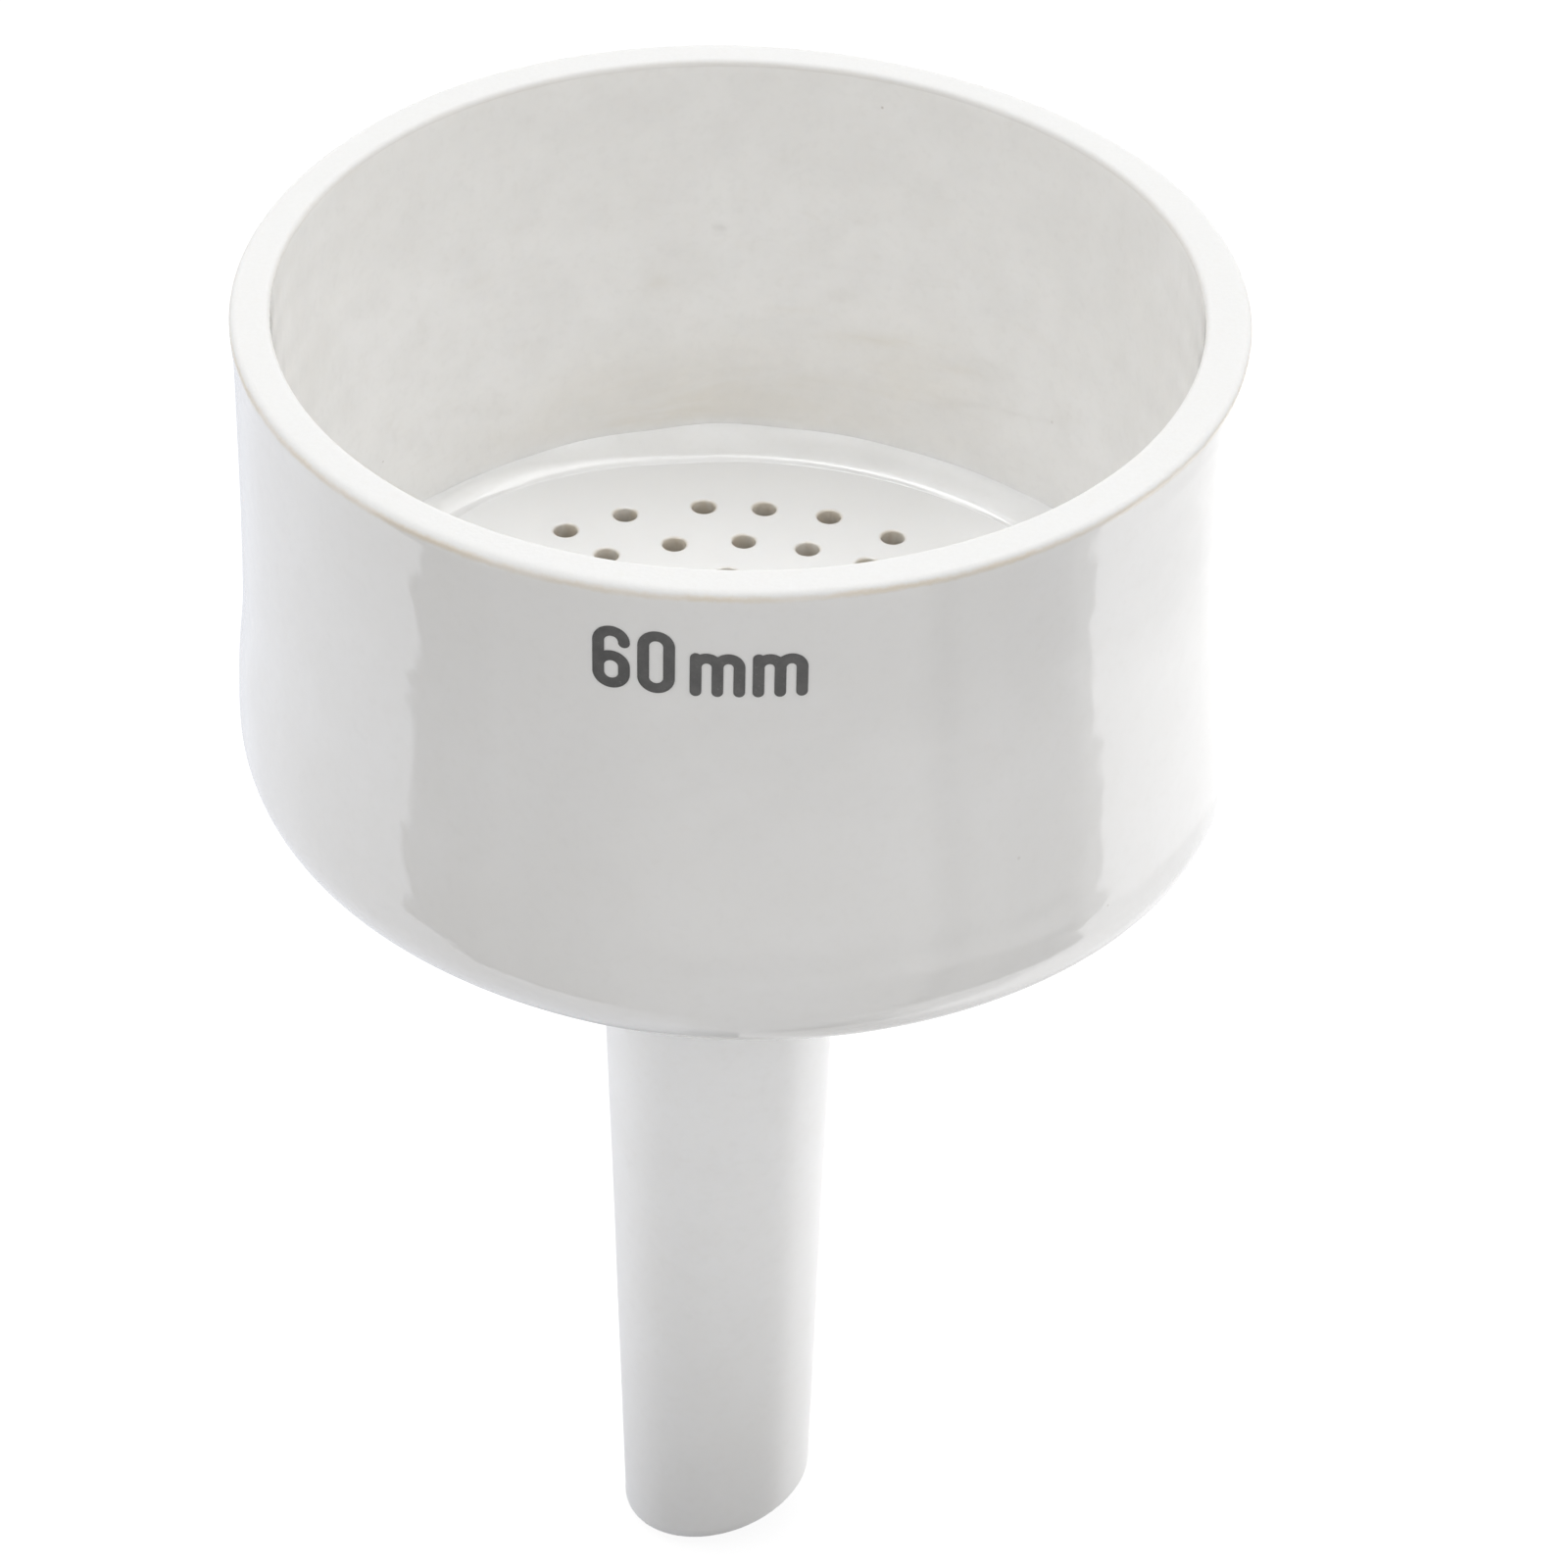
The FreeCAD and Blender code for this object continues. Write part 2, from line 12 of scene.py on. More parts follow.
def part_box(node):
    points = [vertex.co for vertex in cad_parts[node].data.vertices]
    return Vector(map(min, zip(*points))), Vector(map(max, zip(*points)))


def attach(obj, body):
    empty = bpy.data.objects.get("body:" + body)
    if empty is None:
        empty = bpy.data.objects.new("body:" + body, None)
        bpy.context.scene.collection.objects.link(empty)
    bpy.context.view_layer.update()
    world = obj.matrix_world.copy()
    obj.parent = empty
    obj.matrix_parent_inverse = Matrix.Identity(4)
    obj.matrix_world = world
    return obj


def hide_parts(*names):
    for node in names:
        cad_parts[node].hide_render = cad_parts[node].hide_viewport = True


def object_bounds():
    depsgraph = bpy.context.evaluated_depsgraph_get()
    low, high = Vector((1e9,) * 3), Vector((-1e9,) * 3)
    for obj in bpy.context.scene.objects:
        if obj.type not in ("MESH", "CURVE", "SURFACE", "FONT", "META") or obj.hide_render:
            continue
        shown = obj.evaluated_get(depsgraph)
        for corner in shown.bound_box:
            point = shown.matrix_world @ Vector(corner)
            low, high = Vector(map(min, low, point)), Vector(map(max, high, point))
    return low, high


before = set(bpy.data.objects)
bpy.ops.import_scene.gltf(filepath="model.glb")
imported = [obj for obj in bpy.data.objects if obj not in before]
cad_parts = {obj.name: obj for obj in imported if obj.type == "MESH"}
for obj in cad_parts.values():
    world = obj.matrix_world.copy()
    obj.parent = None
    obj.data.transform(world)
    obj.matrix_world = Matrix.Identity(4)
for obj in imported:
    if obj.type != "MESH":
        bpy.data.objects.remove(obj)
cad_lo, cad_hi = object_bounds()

MM = 0.001
TAU = 2.0 * math.pi

# ----------------------------------------------------------------------------------------------
# Dimensions (mm): levels end in or start with Z, radii start with R
# ----------------------------------------------------------------------------------------------


def box_mm(node):
    low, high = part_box(node)
    return np.array(low) / MM, np.array(high) / MM


bowl_lo, bowl_hi = box_mm("bowl")
plate_lo, plate_hi = box_mm("filter_plate")
mark_lo, mark_hi = box_mm("size_mark")
bead_lo, bead_hi = box_mm("stem_fillet_slip")

Z_RIM = bowl_hi[2]
Z_SEAT = bowl_lo[2]               # flat round the outlet
R_BELLY = bowl_hi[0]
Z_PLATE = plate_hi[2]             # upper face of the plate
Z_PLATE_LOW = plate_lo[2]
R_PLATE = plate_hi[0]
Z_LEDGE = box_mm("plate_bedding_slip")[0][2]
R_FILLET = box_mm("plate_fillet_slip")[1][0]
Z_SPIGOT = box_mm("stem")[1][2]
Z_BEAD = bead_lo[2]
R_BEAD_BOWL = bead_hi[0]

# Bowl
R_MOUTH, R_RIM_OUT = 30.0, 32.66
R_SEAT_BORE, R_LEDGE, R_OUTLET = 28.7, 25.6, 7.0
R_SEAT_FLAT = 9.0                 # outer edge of the flat round the outlet
Z_WAIST, WAIST_CURVE, WAIST_CENTRE = 93.05, 250.0, 282.5
Z_BELLY, BELLY_CURVE = 73.17, 60.0
Z_WALL_SPLIT = 99.0               # the outer wall's section is closed here
Z_SHOULDER, SHOULDER_CURVE = 70.8, 5.0
SHOULDER_SWEEP = math.radians(90 - 38.94)
R_DISH_EDGE, R_DROP_START = 25.177, 12.5
DISH_CENTRE_R, DISH_CENTRE_Z, DISH_CURVE, DISH_WALL = -28.245, 128.09, 85.0, 4.0
# The land is a little narrower on the left and at the back, wider on the right and in front
MOUTH_DX, MOUTH_DY = -0.26, 0.26
BOWL_ANGLES = 432

# Plate
HOLE_R = 0.80
HOLE_SEGMENTS, EDGE_SEGMENTS = 36, 180
LIP_TOP, LIP_LOW = 0.16, 0.12     # rounding of the holes' mouths
HOLE_OFFSETS = [0.0, 0.02, 0.05, 0.09, 0.125, LIP_TOP, 0.32, 0.60]   # mesh rings round a hole
EDGE_INSETS = [0.0, 0.12, 0.5, 1.1]                                  # mesh rings inside the edge
GRID_STEP, GRID_ROW = 0.95, 0.866
HOLE_LEVELS, EDGE_LEVELS = 9, 4

# Stem: luted on a little to one side and a touch out of upright
STEM_DX, STEM_LEAN = -0.65, -0.0057
R_TIP, TAPER, R_BORE_TIP, R_BORE_TOP = 6.49, 0.03, 4.2, 4.8
R_SPIGOT = 6.7
TIP_ROUND = 0.4
BEVEL = math.radians(15.4)
LOW_SIDE = math.pi + math.radians(10.5)    # direction of the bevel's lowest point
Z_STEP = Z_SEAT - 0.30                     # shoulder from which the spigot rises
STEM_ANGLES = 240

# Size mark
CAP, LOW_HEIGHT, STROKE = mark_hi[2] - mark_lo[2], 3.2, 0.72
DIGIT_WIDTH, M_WIDTH, GAP = 0.50 * CAP, 1.06 * LOW_HEIGHT, 0.45
STROKE_STEP = 0.04
R_MARK_WRAP = 32.55                        # wall radius used to turn widths into angles
FILM_OUT, FILM_IN = 0.035, -0.02

# ----------------------------------------------------------------------------------------------
# Smooth irregularity: hand-made ware is never quite round or even
# ----------------------------------------------------------------------------------------------


def wobble(angle, seed, lo, hi, amp, fall=1.0):
    """Periodic noise of angle: harmonics lo..hi, about +-amp."""
    rng = np.random.default_rng(seed)
    out = np.zeros_like(angle, dtype=float)
    norm = 0.0
    for k in range(lo, hi + 1):
        size = rng.normal() / k ** fall
        phase = rng.uniform(0, TAU)
        out += size * np.cos(k * angle + phase)
        norm += 0.5 * (1.0 / k ** fall) ** 2
    return amp * out / math.sqrt(norm) / 1.6


def field(angle, z, seed, waves, amp, harmonics, lengths):
    """Smooth bumpiness over a wall, periodic in angle, about +-amp; lengths bound the waves in mm."""
    rng = np.random.default_rng(seed)
    out = np.zeros(np.broadcast(angle, z).shape)
    for _ in range(waves):
        k = rng.integers(0, harmonics + 1)
        pitch = TAU / rng.uniform(*lengths)
        out = out + rng.normal() * np.cos(k * angle + rng.uniform(0, TAU)
                                          + pitch * z * rng.choice([-1, 1]))
    return amp * out / math.sqrt(waves)


def smooth(start, end, x):
    """Smoothstep from 0 at start to 1 at end; start may be the larger."""
    t = np.clip((np.asarray(x, float) - start) / (end - start), 0.0, 1.0)
    return t * t * (3.0 - 2.0 * t)


def degrees_from(angle_deg, at):
    """Signed turn from the bearing 'at'."""
    return (angle_deg - at + 180.0) % 360.0 - 180.0


def hump(angle, at, wide):
    """Smooth bump of angle, centred at 'at' degrees."""
    return np.exp(-(degrees_from(np.degrees(angle), at) / wide) ** 2)


def bell(x, centre, width):
    return np.exp(-((x - centre) / width) ** 2)


# ----------------------------------------------------------------------------------------------
# Mesh helpers
# ----------------------------------------------------------------------------------------------


def make_object(name, verts_mm, faces, smooth_shade=True):
    mesh = bpy.data.meshes.new(name)
    mesh.from_pydata((np.asarray(verts_mm, float) * MM).tolist(), [], faces)
    mesh.validate()
    mesh.update()
    if smooth_shade:
        mesh.polygons.foreach_set("use_smooth", np.ones(len(mesh.polygons), bool))
    obj = bpy.data.objects.new(name, mesh)
    bpy.context.scene.collection.objects.link(obj)
    return obj


def put_attribute(obj, name, values):
    attribute = obj.data.attributes.new(name, "FLOAT", "POINT")
    attribute.data.foreach_set("value", np.asarray(values, np.float32).ravel())


def install(obj, part):
    """Let the object stand in for a CAD part."""
    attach(obj, "root")
    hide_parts(part)


def around(count):
    return np.linspace(0, TAU, count, endpoint=False)


def spread(angles, sections):
    """Sections of (radius, z) as arrays (angle, point): the angles, radii and levels."""
    points = np.array(sections)
    angle = np.repeat(angles[:, None], points.shape[1], axis=1)
    return angle, points[..., 0].copy(), points[..., 1].copy()


def lathe_mesh(name, x, y, z, flip=False):
    """Surface from arrays (angle, point), closed both ways. Faces point outwards when the section
    runs down the outside and up the inside; flip it when it runs the other way."""
    grid = np.stack([x, y, z], axis=-1).transpose(1, 0, 2)
    if flip:
        grid = grid[::-1]
    here = np.arange(grid.shape[0] * grid.shape[1]).reshape(grid.shape[:2])
    beside = np.roll(here, -1, axis=1)
    beyond = np.roll(beside, -1, axis=0)
    below = np.roll(here, -1, axis=0)
    faces = np.stack([here, below, beyond, beside], axis=-1).reshape(-1, 4)
    return make_object(name, grid.reshape(-1, 3), faces.tolist())


def conic(start, control, end, t, weight=1.0):
    """Rational quadratic curve; weight 1 is a plain parabola."""
    share = (1 - t) ** 2 + 2 * weight * t * (1 - t) + t ** 2
    return ((1 - t) ** 2 * start + 2 * weight * t * (1 - t) * control + t ** 2 * end) / share


def corner(run):
    """Tag of the rounding at the start of a run."""
    return -1 - run


def section(parts, corner_steps=9):
    """Closed section from open runs that meet end to end, and a tag for each point: the run's
    number, or corner(run). Each part is (points, rounding radius at its start, spans)."""
    runs = [np.asarray(points, float) for points, _, _ in parts]
    cuts, turns = [], []
    for i, run in enumerate(runs):
        into = run[0] - runs[i - 1][-2]
        into /= np.hypot(*into)
        away = run[1] - run[0]
        away /= np.hypot(*away)
        turn = math.acos(max(-1.0, min(1.0, float(into @ away))))
        radius = parts[i][1]
        cuts.append(radius * math.tan(turn / 2) if radius > 0 else 0.0)
        turns.append(turn)
    trimmed = []
    for i, run in enumerate(runs):
        along = np.r_[0, np.cumsum(np.hypot(*(np.diff(run, axis=0).T)))]
        end = along[-1] - cuts[(i + 1) % len(runs)]
        t = np.linspace(cuts[i], end, parts[i][2] + 1)
        trimmed.append(np.c_[np.interp(t, along, run[:, 0]), np.interp(t, along, run[:, 1])])
    points, tags = [], []
    t = np.linspace(0, 1, corner_steps + 1)[1:-1, None]
    for i, run in enumerate(trimmed):
        if cuts[i] > 0:
            # a true circular arc where both runs are straight
            points.append(conic(trimmed[i - 1][-1], runs[i][0], run[0], t, math.cos(turns[i] / 2)))
            tags += [corner(i)] * len(t)
        else:
            run = run[1:]      # a sharp corner's point already ends the run before
        points.append(run)
        tags += [i] * len(run)
    return np.vstack(points), np.array(tags)


def tagged(tags, *wanted):
    return np.isin(tags, wanted)[None, :]


def triangulate(points):
    """Delaunay vertices and triangles, and the input points each vertex came from."""
    verts, _, tris, sources, _, _ = delaunay_2d_cdt([Vector(p) for p in points], [], [], 0, 1e-7)
    return np.array([[v.x, v.y] for v in verts]), np.array(tris), sources


def doubled_area(verts, tris):
    first, second, third = verts[tris].transpose(1, 0, 2)
    return ((second[:, 0] - first[:, 0]) * (third[:, 1] - first[:, 1])
            - (third[:, 0] - first[:, 0]) * (second[:, 1] - first[:, 1]))


def anticlockwise(verts, tris):
    return np.where((doubled_area(verts, tris) < 0)[:, None], tris[:, ::-1], tris)


# ----------------------------------------------------------------------------------------------
# Bowl
# ----------------------------------------------------------------------------------------------


def dish_z(radius, curve=DISH_CURVE):
    """Level of the dished bottom, by default its underside."""
    return DISH_CENTRE_Z - np.sqrt(curve * curve - (np.asarray(radius, float) - DISH_CENTRE_R) ** 2)


def wall_outer(z):
    """Designed radius of the outer wall: waist, belly."""
    z = np.asarray(z, float)
    waist = WAIST_CENTRE - np.sqrt(np.maximum(WAIST_CURVE ** 2 - (z - Z_WAIST) ** 2, 0))
    rise = np.minimum(z, 78.0) - Z_BELLY
    belly = R_BELLY - BELLY_CURVE + np.sqrt(np.maximum(BELLY_CURVE ** 2 - rise ** 2, 0))
    blend = smooth(76.0, 78.0, z)
    return np.where(z < Z_BELLY, R_BELLY, belly) * (1 - blend) + waist * blend


def as_made_shift(angle, z):
    """Change of the outer wall's radius from the design, by angle and height."""
    upper = smooth(78, 96, z)
    side = np.cos(angle)
    right, left = np.maximum(side, 0), np.maximum(-side, 0)
    return (0.10 * upper * (-side) + 0.10 * (1 - upper) * side * smooth(56, 70, z)
            + 0.05 * wobble(angle, 11, 2, 4, 1.0) * smooth(60, 75, z)
            - 0.20 * right * bell(z, 87, 7.0) + 0.15 * right * smooth(77, 71, z)
            - 0.13 * left * bell(z, 79, 4.0)
            + 0.13 * side ** 4 * smooth(99.6, 101.4, z)
            + 0.26 * hump(angle, 116, 34) * smooth(90, 101, z)
            - 0.16 * hump(angle, 58, 24) * smooth(90, 101, z))


def unevenness(angle, z):
    """Gentle bumps of the outer wall, fading out at the rim's corner."""
    return (field(angle, z, seed=21, waves=14, amp=0.028, harmonics=7, lengths=(14.0, 45.0))
            * smooth(Z_RIM + 0.3, Z_RIM - 2.5, z))


def rim_level(angle):
    return wobble(angle, 5, 1, 5, 0.05) + 0.22 * hump(angle, 116, 36) - 0.10 * hump(angle, 60, 26)


def askew(angle):
    """The foot was trimmed a little askew: the shoulder is lower on the right, higher on the left."""
    return -(0.20 + 0.66 * np.cos(angle) + 0.06 * wobble(angle, 12, 3, 7, 1.0))


def trim_ridge(angle, z):
    """Soft uneven ridge where the trimmed foot starts."""
    size = 0.035 + 0.05 * hump(angle, -42, 26) + 0.012 * wobble(angle, 13, 5, 14, 1.0)
    return size * bell(z, 72.0 + 0.5 * askew(angle), 0.95)


def inner_wall_radius(angle, z):
    offset = MOUTH_DX * np.cos(angle) + MOUTH_DY * np.sin(angle)
    return (R_SEAT_BORE + (R_MOUTH - R_SEAT_BORE) * (z - Z_LEDGE) / (Z_RIM - Z_LEDGE)
            + offset * smooth(76, Z_RIM, z))


def fillet_rise(angle):
    """How high the slip fillet runs up the inside wall."""
    return np.clip(1.14 + wobble(angle, 62, 1, 6, 0.16) + wobble(angle, 63, 6, 22, 0.10, 0.5)
                   + 0.22 * hump(angle, 95, 7) - 0.25 * hump(angle, 62, 14), 0.75, 1.6)


# Runs of the bowl's section: down the outside, through the outlet, up the inside, over the land
(OUTSIDE, SEAT_FLAT, OUTLET, DISH_INSIDE, LEDGE_WALL, LEDGE_TOP, INNER_WALL, LAND,
 OUTSIDE_TOP) = range(9)
TOP_POINTS = 9        # design points of the outer wall above Z_WALL_SPLIT


def bowl_section(angle, lift, drop, round_in, round_out):
    """Section at one angle; lift moves the rim and drop the shoulder."""
    wall_z = np.r_[np.linspace(Z_RIM, Z_WALL_SPLIT, TOP_POINTS),
                   np.linspace(Z_WALL_SPLIT, Z_SHOULDER, 64)[1:]]
    dropped = wall_z + drop * smooth(84, 71.5, wall_z)
    outer = np.c_[wall_outer(wall_z) + as_made_shift(angle, wall_z) + trim_ridge(angle, dropped),
                  dropped + lift * smooth(80, Z_RIM, wall_z)]
    sweep = np.linspace(0, SHOULDER_SWEEP, 14)
    shoulder = np.c_[outer[-1, 0] - SHOULDER_CURVE + SHOULDER_CURVE * np.cos(sweep),
                     Z_SHOULDER + drop - SHOULDER_CURVE * np.sin(sweep)]
    dish_r = np.linspace(R_DISH_EDGE, R_SEAT_FLAT, 26)
    drop_share = np.clip((dish_r - R_DROP_START) / (R_DISH_EDGE - R_DROP_START), 0, 1)
    under = np.c_[dish_r, dish_z(dish_r) + drop * drop_share]
    inner_r = np.linspace(R_OUTLET, R_LEDGE, 26)
    dish = np.c_[inner_r, dish_z(inner_r, DISH_CURVE - DISH_WALL)]
    inner_z = np.linspace(Z_LEDGE, Z_RIM, 30)
    inner = np.c_[inner_wall_radius(angle, inner_z), inner_z + lift * smooth(80, Z_RIM, inner_z)]
    return section([
        (np.vstack([outer[TOP_POINTS - 1:], shoulder[1:], under]), 0.0, 150),
        ([[R_SEAT_FLAT, Z_SEAT], [R_OUTLET, Z_SEAT]], 0.0, 4),
        ([[R_OUTLET, Z_SEAT], dish[0]], 0.25, 8),
        (dish, 0.4, 44),
        ([dish[-1], [R_LEDGE, Z_LEDGE]], 0.6, 6),
        ([[R_LEDGE, Z_LEDGE], [R_SEAT_BORE, Z_LEDGE]], 0.2, 8),
        (inner, 0.12, 84),
        ([inner[-1], outer[0]], round_in, 14),
        (outer[:TOP_POINTS], round_out, 20)])


# Tan smears on the inside wall: bearing (degrees), level, half-width (degrees), half-height,
# rise per degree, strength
SMEARS = [
    (70, 81.8, 7.5, 0.42, -0.055, 0.75), (60, 80.9, 4.0, 0.32, -0.10, 0.45),
    (104, 74.9, 4.0, 0.8, 0.0, 0.6), (102, 85.3, 1.8, 0.5, 0.0, 0.55),
    (84, 83.1, 3.5, 0.3, -0.03, 0.35), (128, 88.5, 4.5, 0.35, 0.03, 0.30),
    (48, 86.0, 4.0, 0.30, 0.04, 0.25), (292, 84.0, 7.0, 0.45, 0.05, 0.5),
    (226, 79.0, 5.0, 0.4, -0.04, 0.45), (8, 83.0, 5.0, 0.4, 0.03, 0.35)]


def stain(angle, z):
    """Warm clouds low on the inside wall, strongest at the back, and a few smears."""
    cloud = (0.95 * bell(z, 75.5, 4.2) * hump(angle, 97, 24)
             + 0.55 * bell(z, 78.5, 5.0) * hump(angle, 66, 12)
             + 0.30 * bell(z, 80.0, 7.0) * hump(angle, 250, 60))
    for bearing, level, half_width, half_height, slope, amount in SMEARS:
        turn = degrees_from(np.degrees(angle), bearing)
        cloud = cloud + (amount * bell(turn, 0, half_width)
                         * bell(z, level + slope * turn, half_height))
    return np.clip(cloud, 0, 1)


def build_bowl():
    angles = around(BOWL_ANGLES)
    round_in = 0.42 + wobble(angles, 32, 2, 9, 0.05)
    round_out = 0.46 + wobble(angles, 31, 2, 9, 0.05) + 0.34 * hump(angles, 238, 34)
    sections = []
    for values in zip(angles, rim_level(angles), askew(angles), round_in, round_out):
        points, tags = bowl_section(*values)
        sections.append(points)
    angle, radius, z = spread(angles, sections)

    # bumps outside and inside, and throwing rings left faintly on the inside wall
    radius += unevenness(angle, z) * tagged(tags, OUTSIDE, OUTSIDE_TOP) * smooth(50, 56, z)
    inside = tagged(tags, INNER_WALL) * smooth(Z_PLATE - 1, Z_PLATE + 4, z)
    bumps = field(angle, z, seed=22, waves=14, amp=0.035, harmonics=6, lengths=(12.0, 40.0))
    radius += bumps * inside * smooth(Z_RIM + 0.3, Z_RIM - 2.5, z)
    rings = 0.012 * np.sin(z * TAU / 3.1 + 0.7 * np.sin(angle))
    radius += rings * inside * smooth(Z_RIM + 0.3, Z_RIM - 4, z)
    # the land itself isn't ground quite flat
    z += (field(angle, radius, seed=23, waves=10, amp=0.012, harmonics=24, lengths=(3.0, 9.0))
          * tagged(tags, LAND, corner(LAND), corner(OUTSIDE_TOP)))
    bowl = lathe_mesh("bowl_shell", radius * np.cos(angle), radius * np.sin(angle), z)

    # depth below the land, and which side of the wall: they place the glaze's edge
    is_out = tagged(tags, OUTSIDE, OUTSIDE_TOP, corner(OUTSIDE_TOP))
    is_in = tagged(tags, INNER_WALL, corner(LAND))
    is_land = tagged(tags, LAND)
    below = np.where(is_out | is_in, z - Z_RIM - rim_level(angle), -40.0)
    below = np.where(is_land, 0.05, below) + 0.05 * hump(angle, 238, 34)
    land_side = np.where(is_land, smooth(R_MOUTH + 0.6, R_RIM_OUT - 0.6, radius), 0.0)
    inner_runs = [OUTLET, DISH_INSIDE, LEDGE_WALL, LEDGE_TOP, INNER_WALL]
    interior = tagged(tags, *inner_runs, *map(corner, inner_runs))
    fleck = bell(np.degrees(angle) * 0.5, 93.6 * 0.5, 0.42) * bell(z, 89.3, 0.32)
    above_fillet = z - Z_PLATE - fillet_rise(angle)
    for name, values in (
            ("below", np.maximum(below, -6.0)),
            ("outer_side", np.where(is_out, 1.0, land_side)),
            ("interior", np.broadcast_to(interior, z.shape)),
            ("stain", stain(angle, z) * is_in),
            ("fleck", fleck * is_in),
            ("near_fillet", np.where(is_in, smooth(0.75, 0.0, above_fillet), 0.0))):
        put_attribute(bowl, name, values.T)
    install(bowl, "bowl")
    return bowl


# ----------------------------------------------------------------------------------------------
# Filter plate with its 83 holes
# ----------------------------------------------------------------------------------------------

# Rings of holes: radius, number of holes, bearing of the first (degrees)
HOLE_RINGS = [(20.4, 27, 58.65), (16.4, 22, 57.0), (12.3, 16, 94.6), (8.2, 11, 80.0), (4.1, 6, 70.0)]
# Holes with a known place: (ring, number in the ring): (radius, bearing)
PLACED_HOLES = {
    (0, 0): (19.97, 58.61), (0, 1): (20.31, 72.76), (0, 2): (20.26, 85.59),
    (0, 3): (20.46, 97.39), (0, 4): (20.75, 112.69), (0, 5): (20.90, 125.17),
    (1, 0): (16.19, 57.65), (1, 1): (16.08, 73.48), (1, 2): (16.21, 89.28),
    (1, 3): (16.34, 106.16), (1, 4): (16.91, 122.67),
    (2, 0): (12.22, 94.0), (2, 15): (11.85, 72.4)}
CENTRE_HOLE = (0.08, -0.05)


def hole_centres():
    """The placed holes, and the others strayed a little from an even pitch."""
    rng = np.random.default_rng(77)
    out = []
    for i, (radius, count, first) in enumerate(HOLE_RINGS):
        for k in range(count):
            if (i, k) in PLACED_HOLES:
                reach, bearing = PLACED_HOLES[i, k]
            else:
                reach = radius + float(np.clip(rng.normal(0, 0.14), -0.3, 0.3))
                stray = float(np.clip(rng.normal(0, 0.13), -0.3, 0.3))
                bearing = first + k * 360.0 / count + math.degrees(stray / radius)
            out.append((reach * math.cos(math.radians(bearing)),
                        reach * math.sin(math.radians(bearing))))
    out.append(CENTRE_HOLE)
    return np.array(out)


def circle(x, y, radius, count, staggered):
    angle = around(count) + (0.5 * TAU / count if staggered else 0.0)
    return list(np.c_[x + radius * np.cos(angle), y + radius * np.sin(angle)])


def plate_points(holes):
    """Rings round every hole, rings inside the edge, and a triangular grid between them."""
    points = []
    for x, y in holes:
        for q, offset in enumerate(HOLE_OFFSETS):
            last = q == len(HOLE_OFFSETS) - 1
            points += circle(x, y, HOLE_R + offset, HOLE_SEGMENTS, staggered=last)
    for q, inset in enumerate(EDGE_INSETS):
        points += circle(0.0, 0.0, R_PLATE - inset, EDGE_SEGMENTS, staggered=q % 2)
    for row in range(int(2 * R_PLATE / (GRID_STEP * GRID_ROW)) + 2):
        y = -R_PLATE + row * GRID_STEP * GRID_ROW
        for column in range(int(2 * R_PLATE / GRID_STEP) + 2):
            x = -R_PLATE + column * GRID_STEP + (GRID_STEP / 2 if row % 2 else 0)
            if math.hypot(x, y) > R_PLATE - 1.6:
                continue
            nearest = np.min(np.hypot(holes[:, 0] - x, holes[:, 1] - y))
            if nearest >= HOLE_R + HOLE_OFFSETS[-1] + 0.45:
                points.append((x, y))
    return np.array(points)


def hole_distance(points, holes):
    """Distance of each point from the nearest hole's centre."""
    return np.hypot(points[:, None, 0] - holes[:, 0], points[:, None, 1] - holes[:, 1]).min(axis=1)


def lip_drop(distance, radius):
    """Fall of a mouth's rounding at a distance outside the hole's wall."""
    inset = np.clip(radius - distance, 0, radius)
    return radius - np.sqrt(np.maximum(radius * radius - inset * inset, 0))


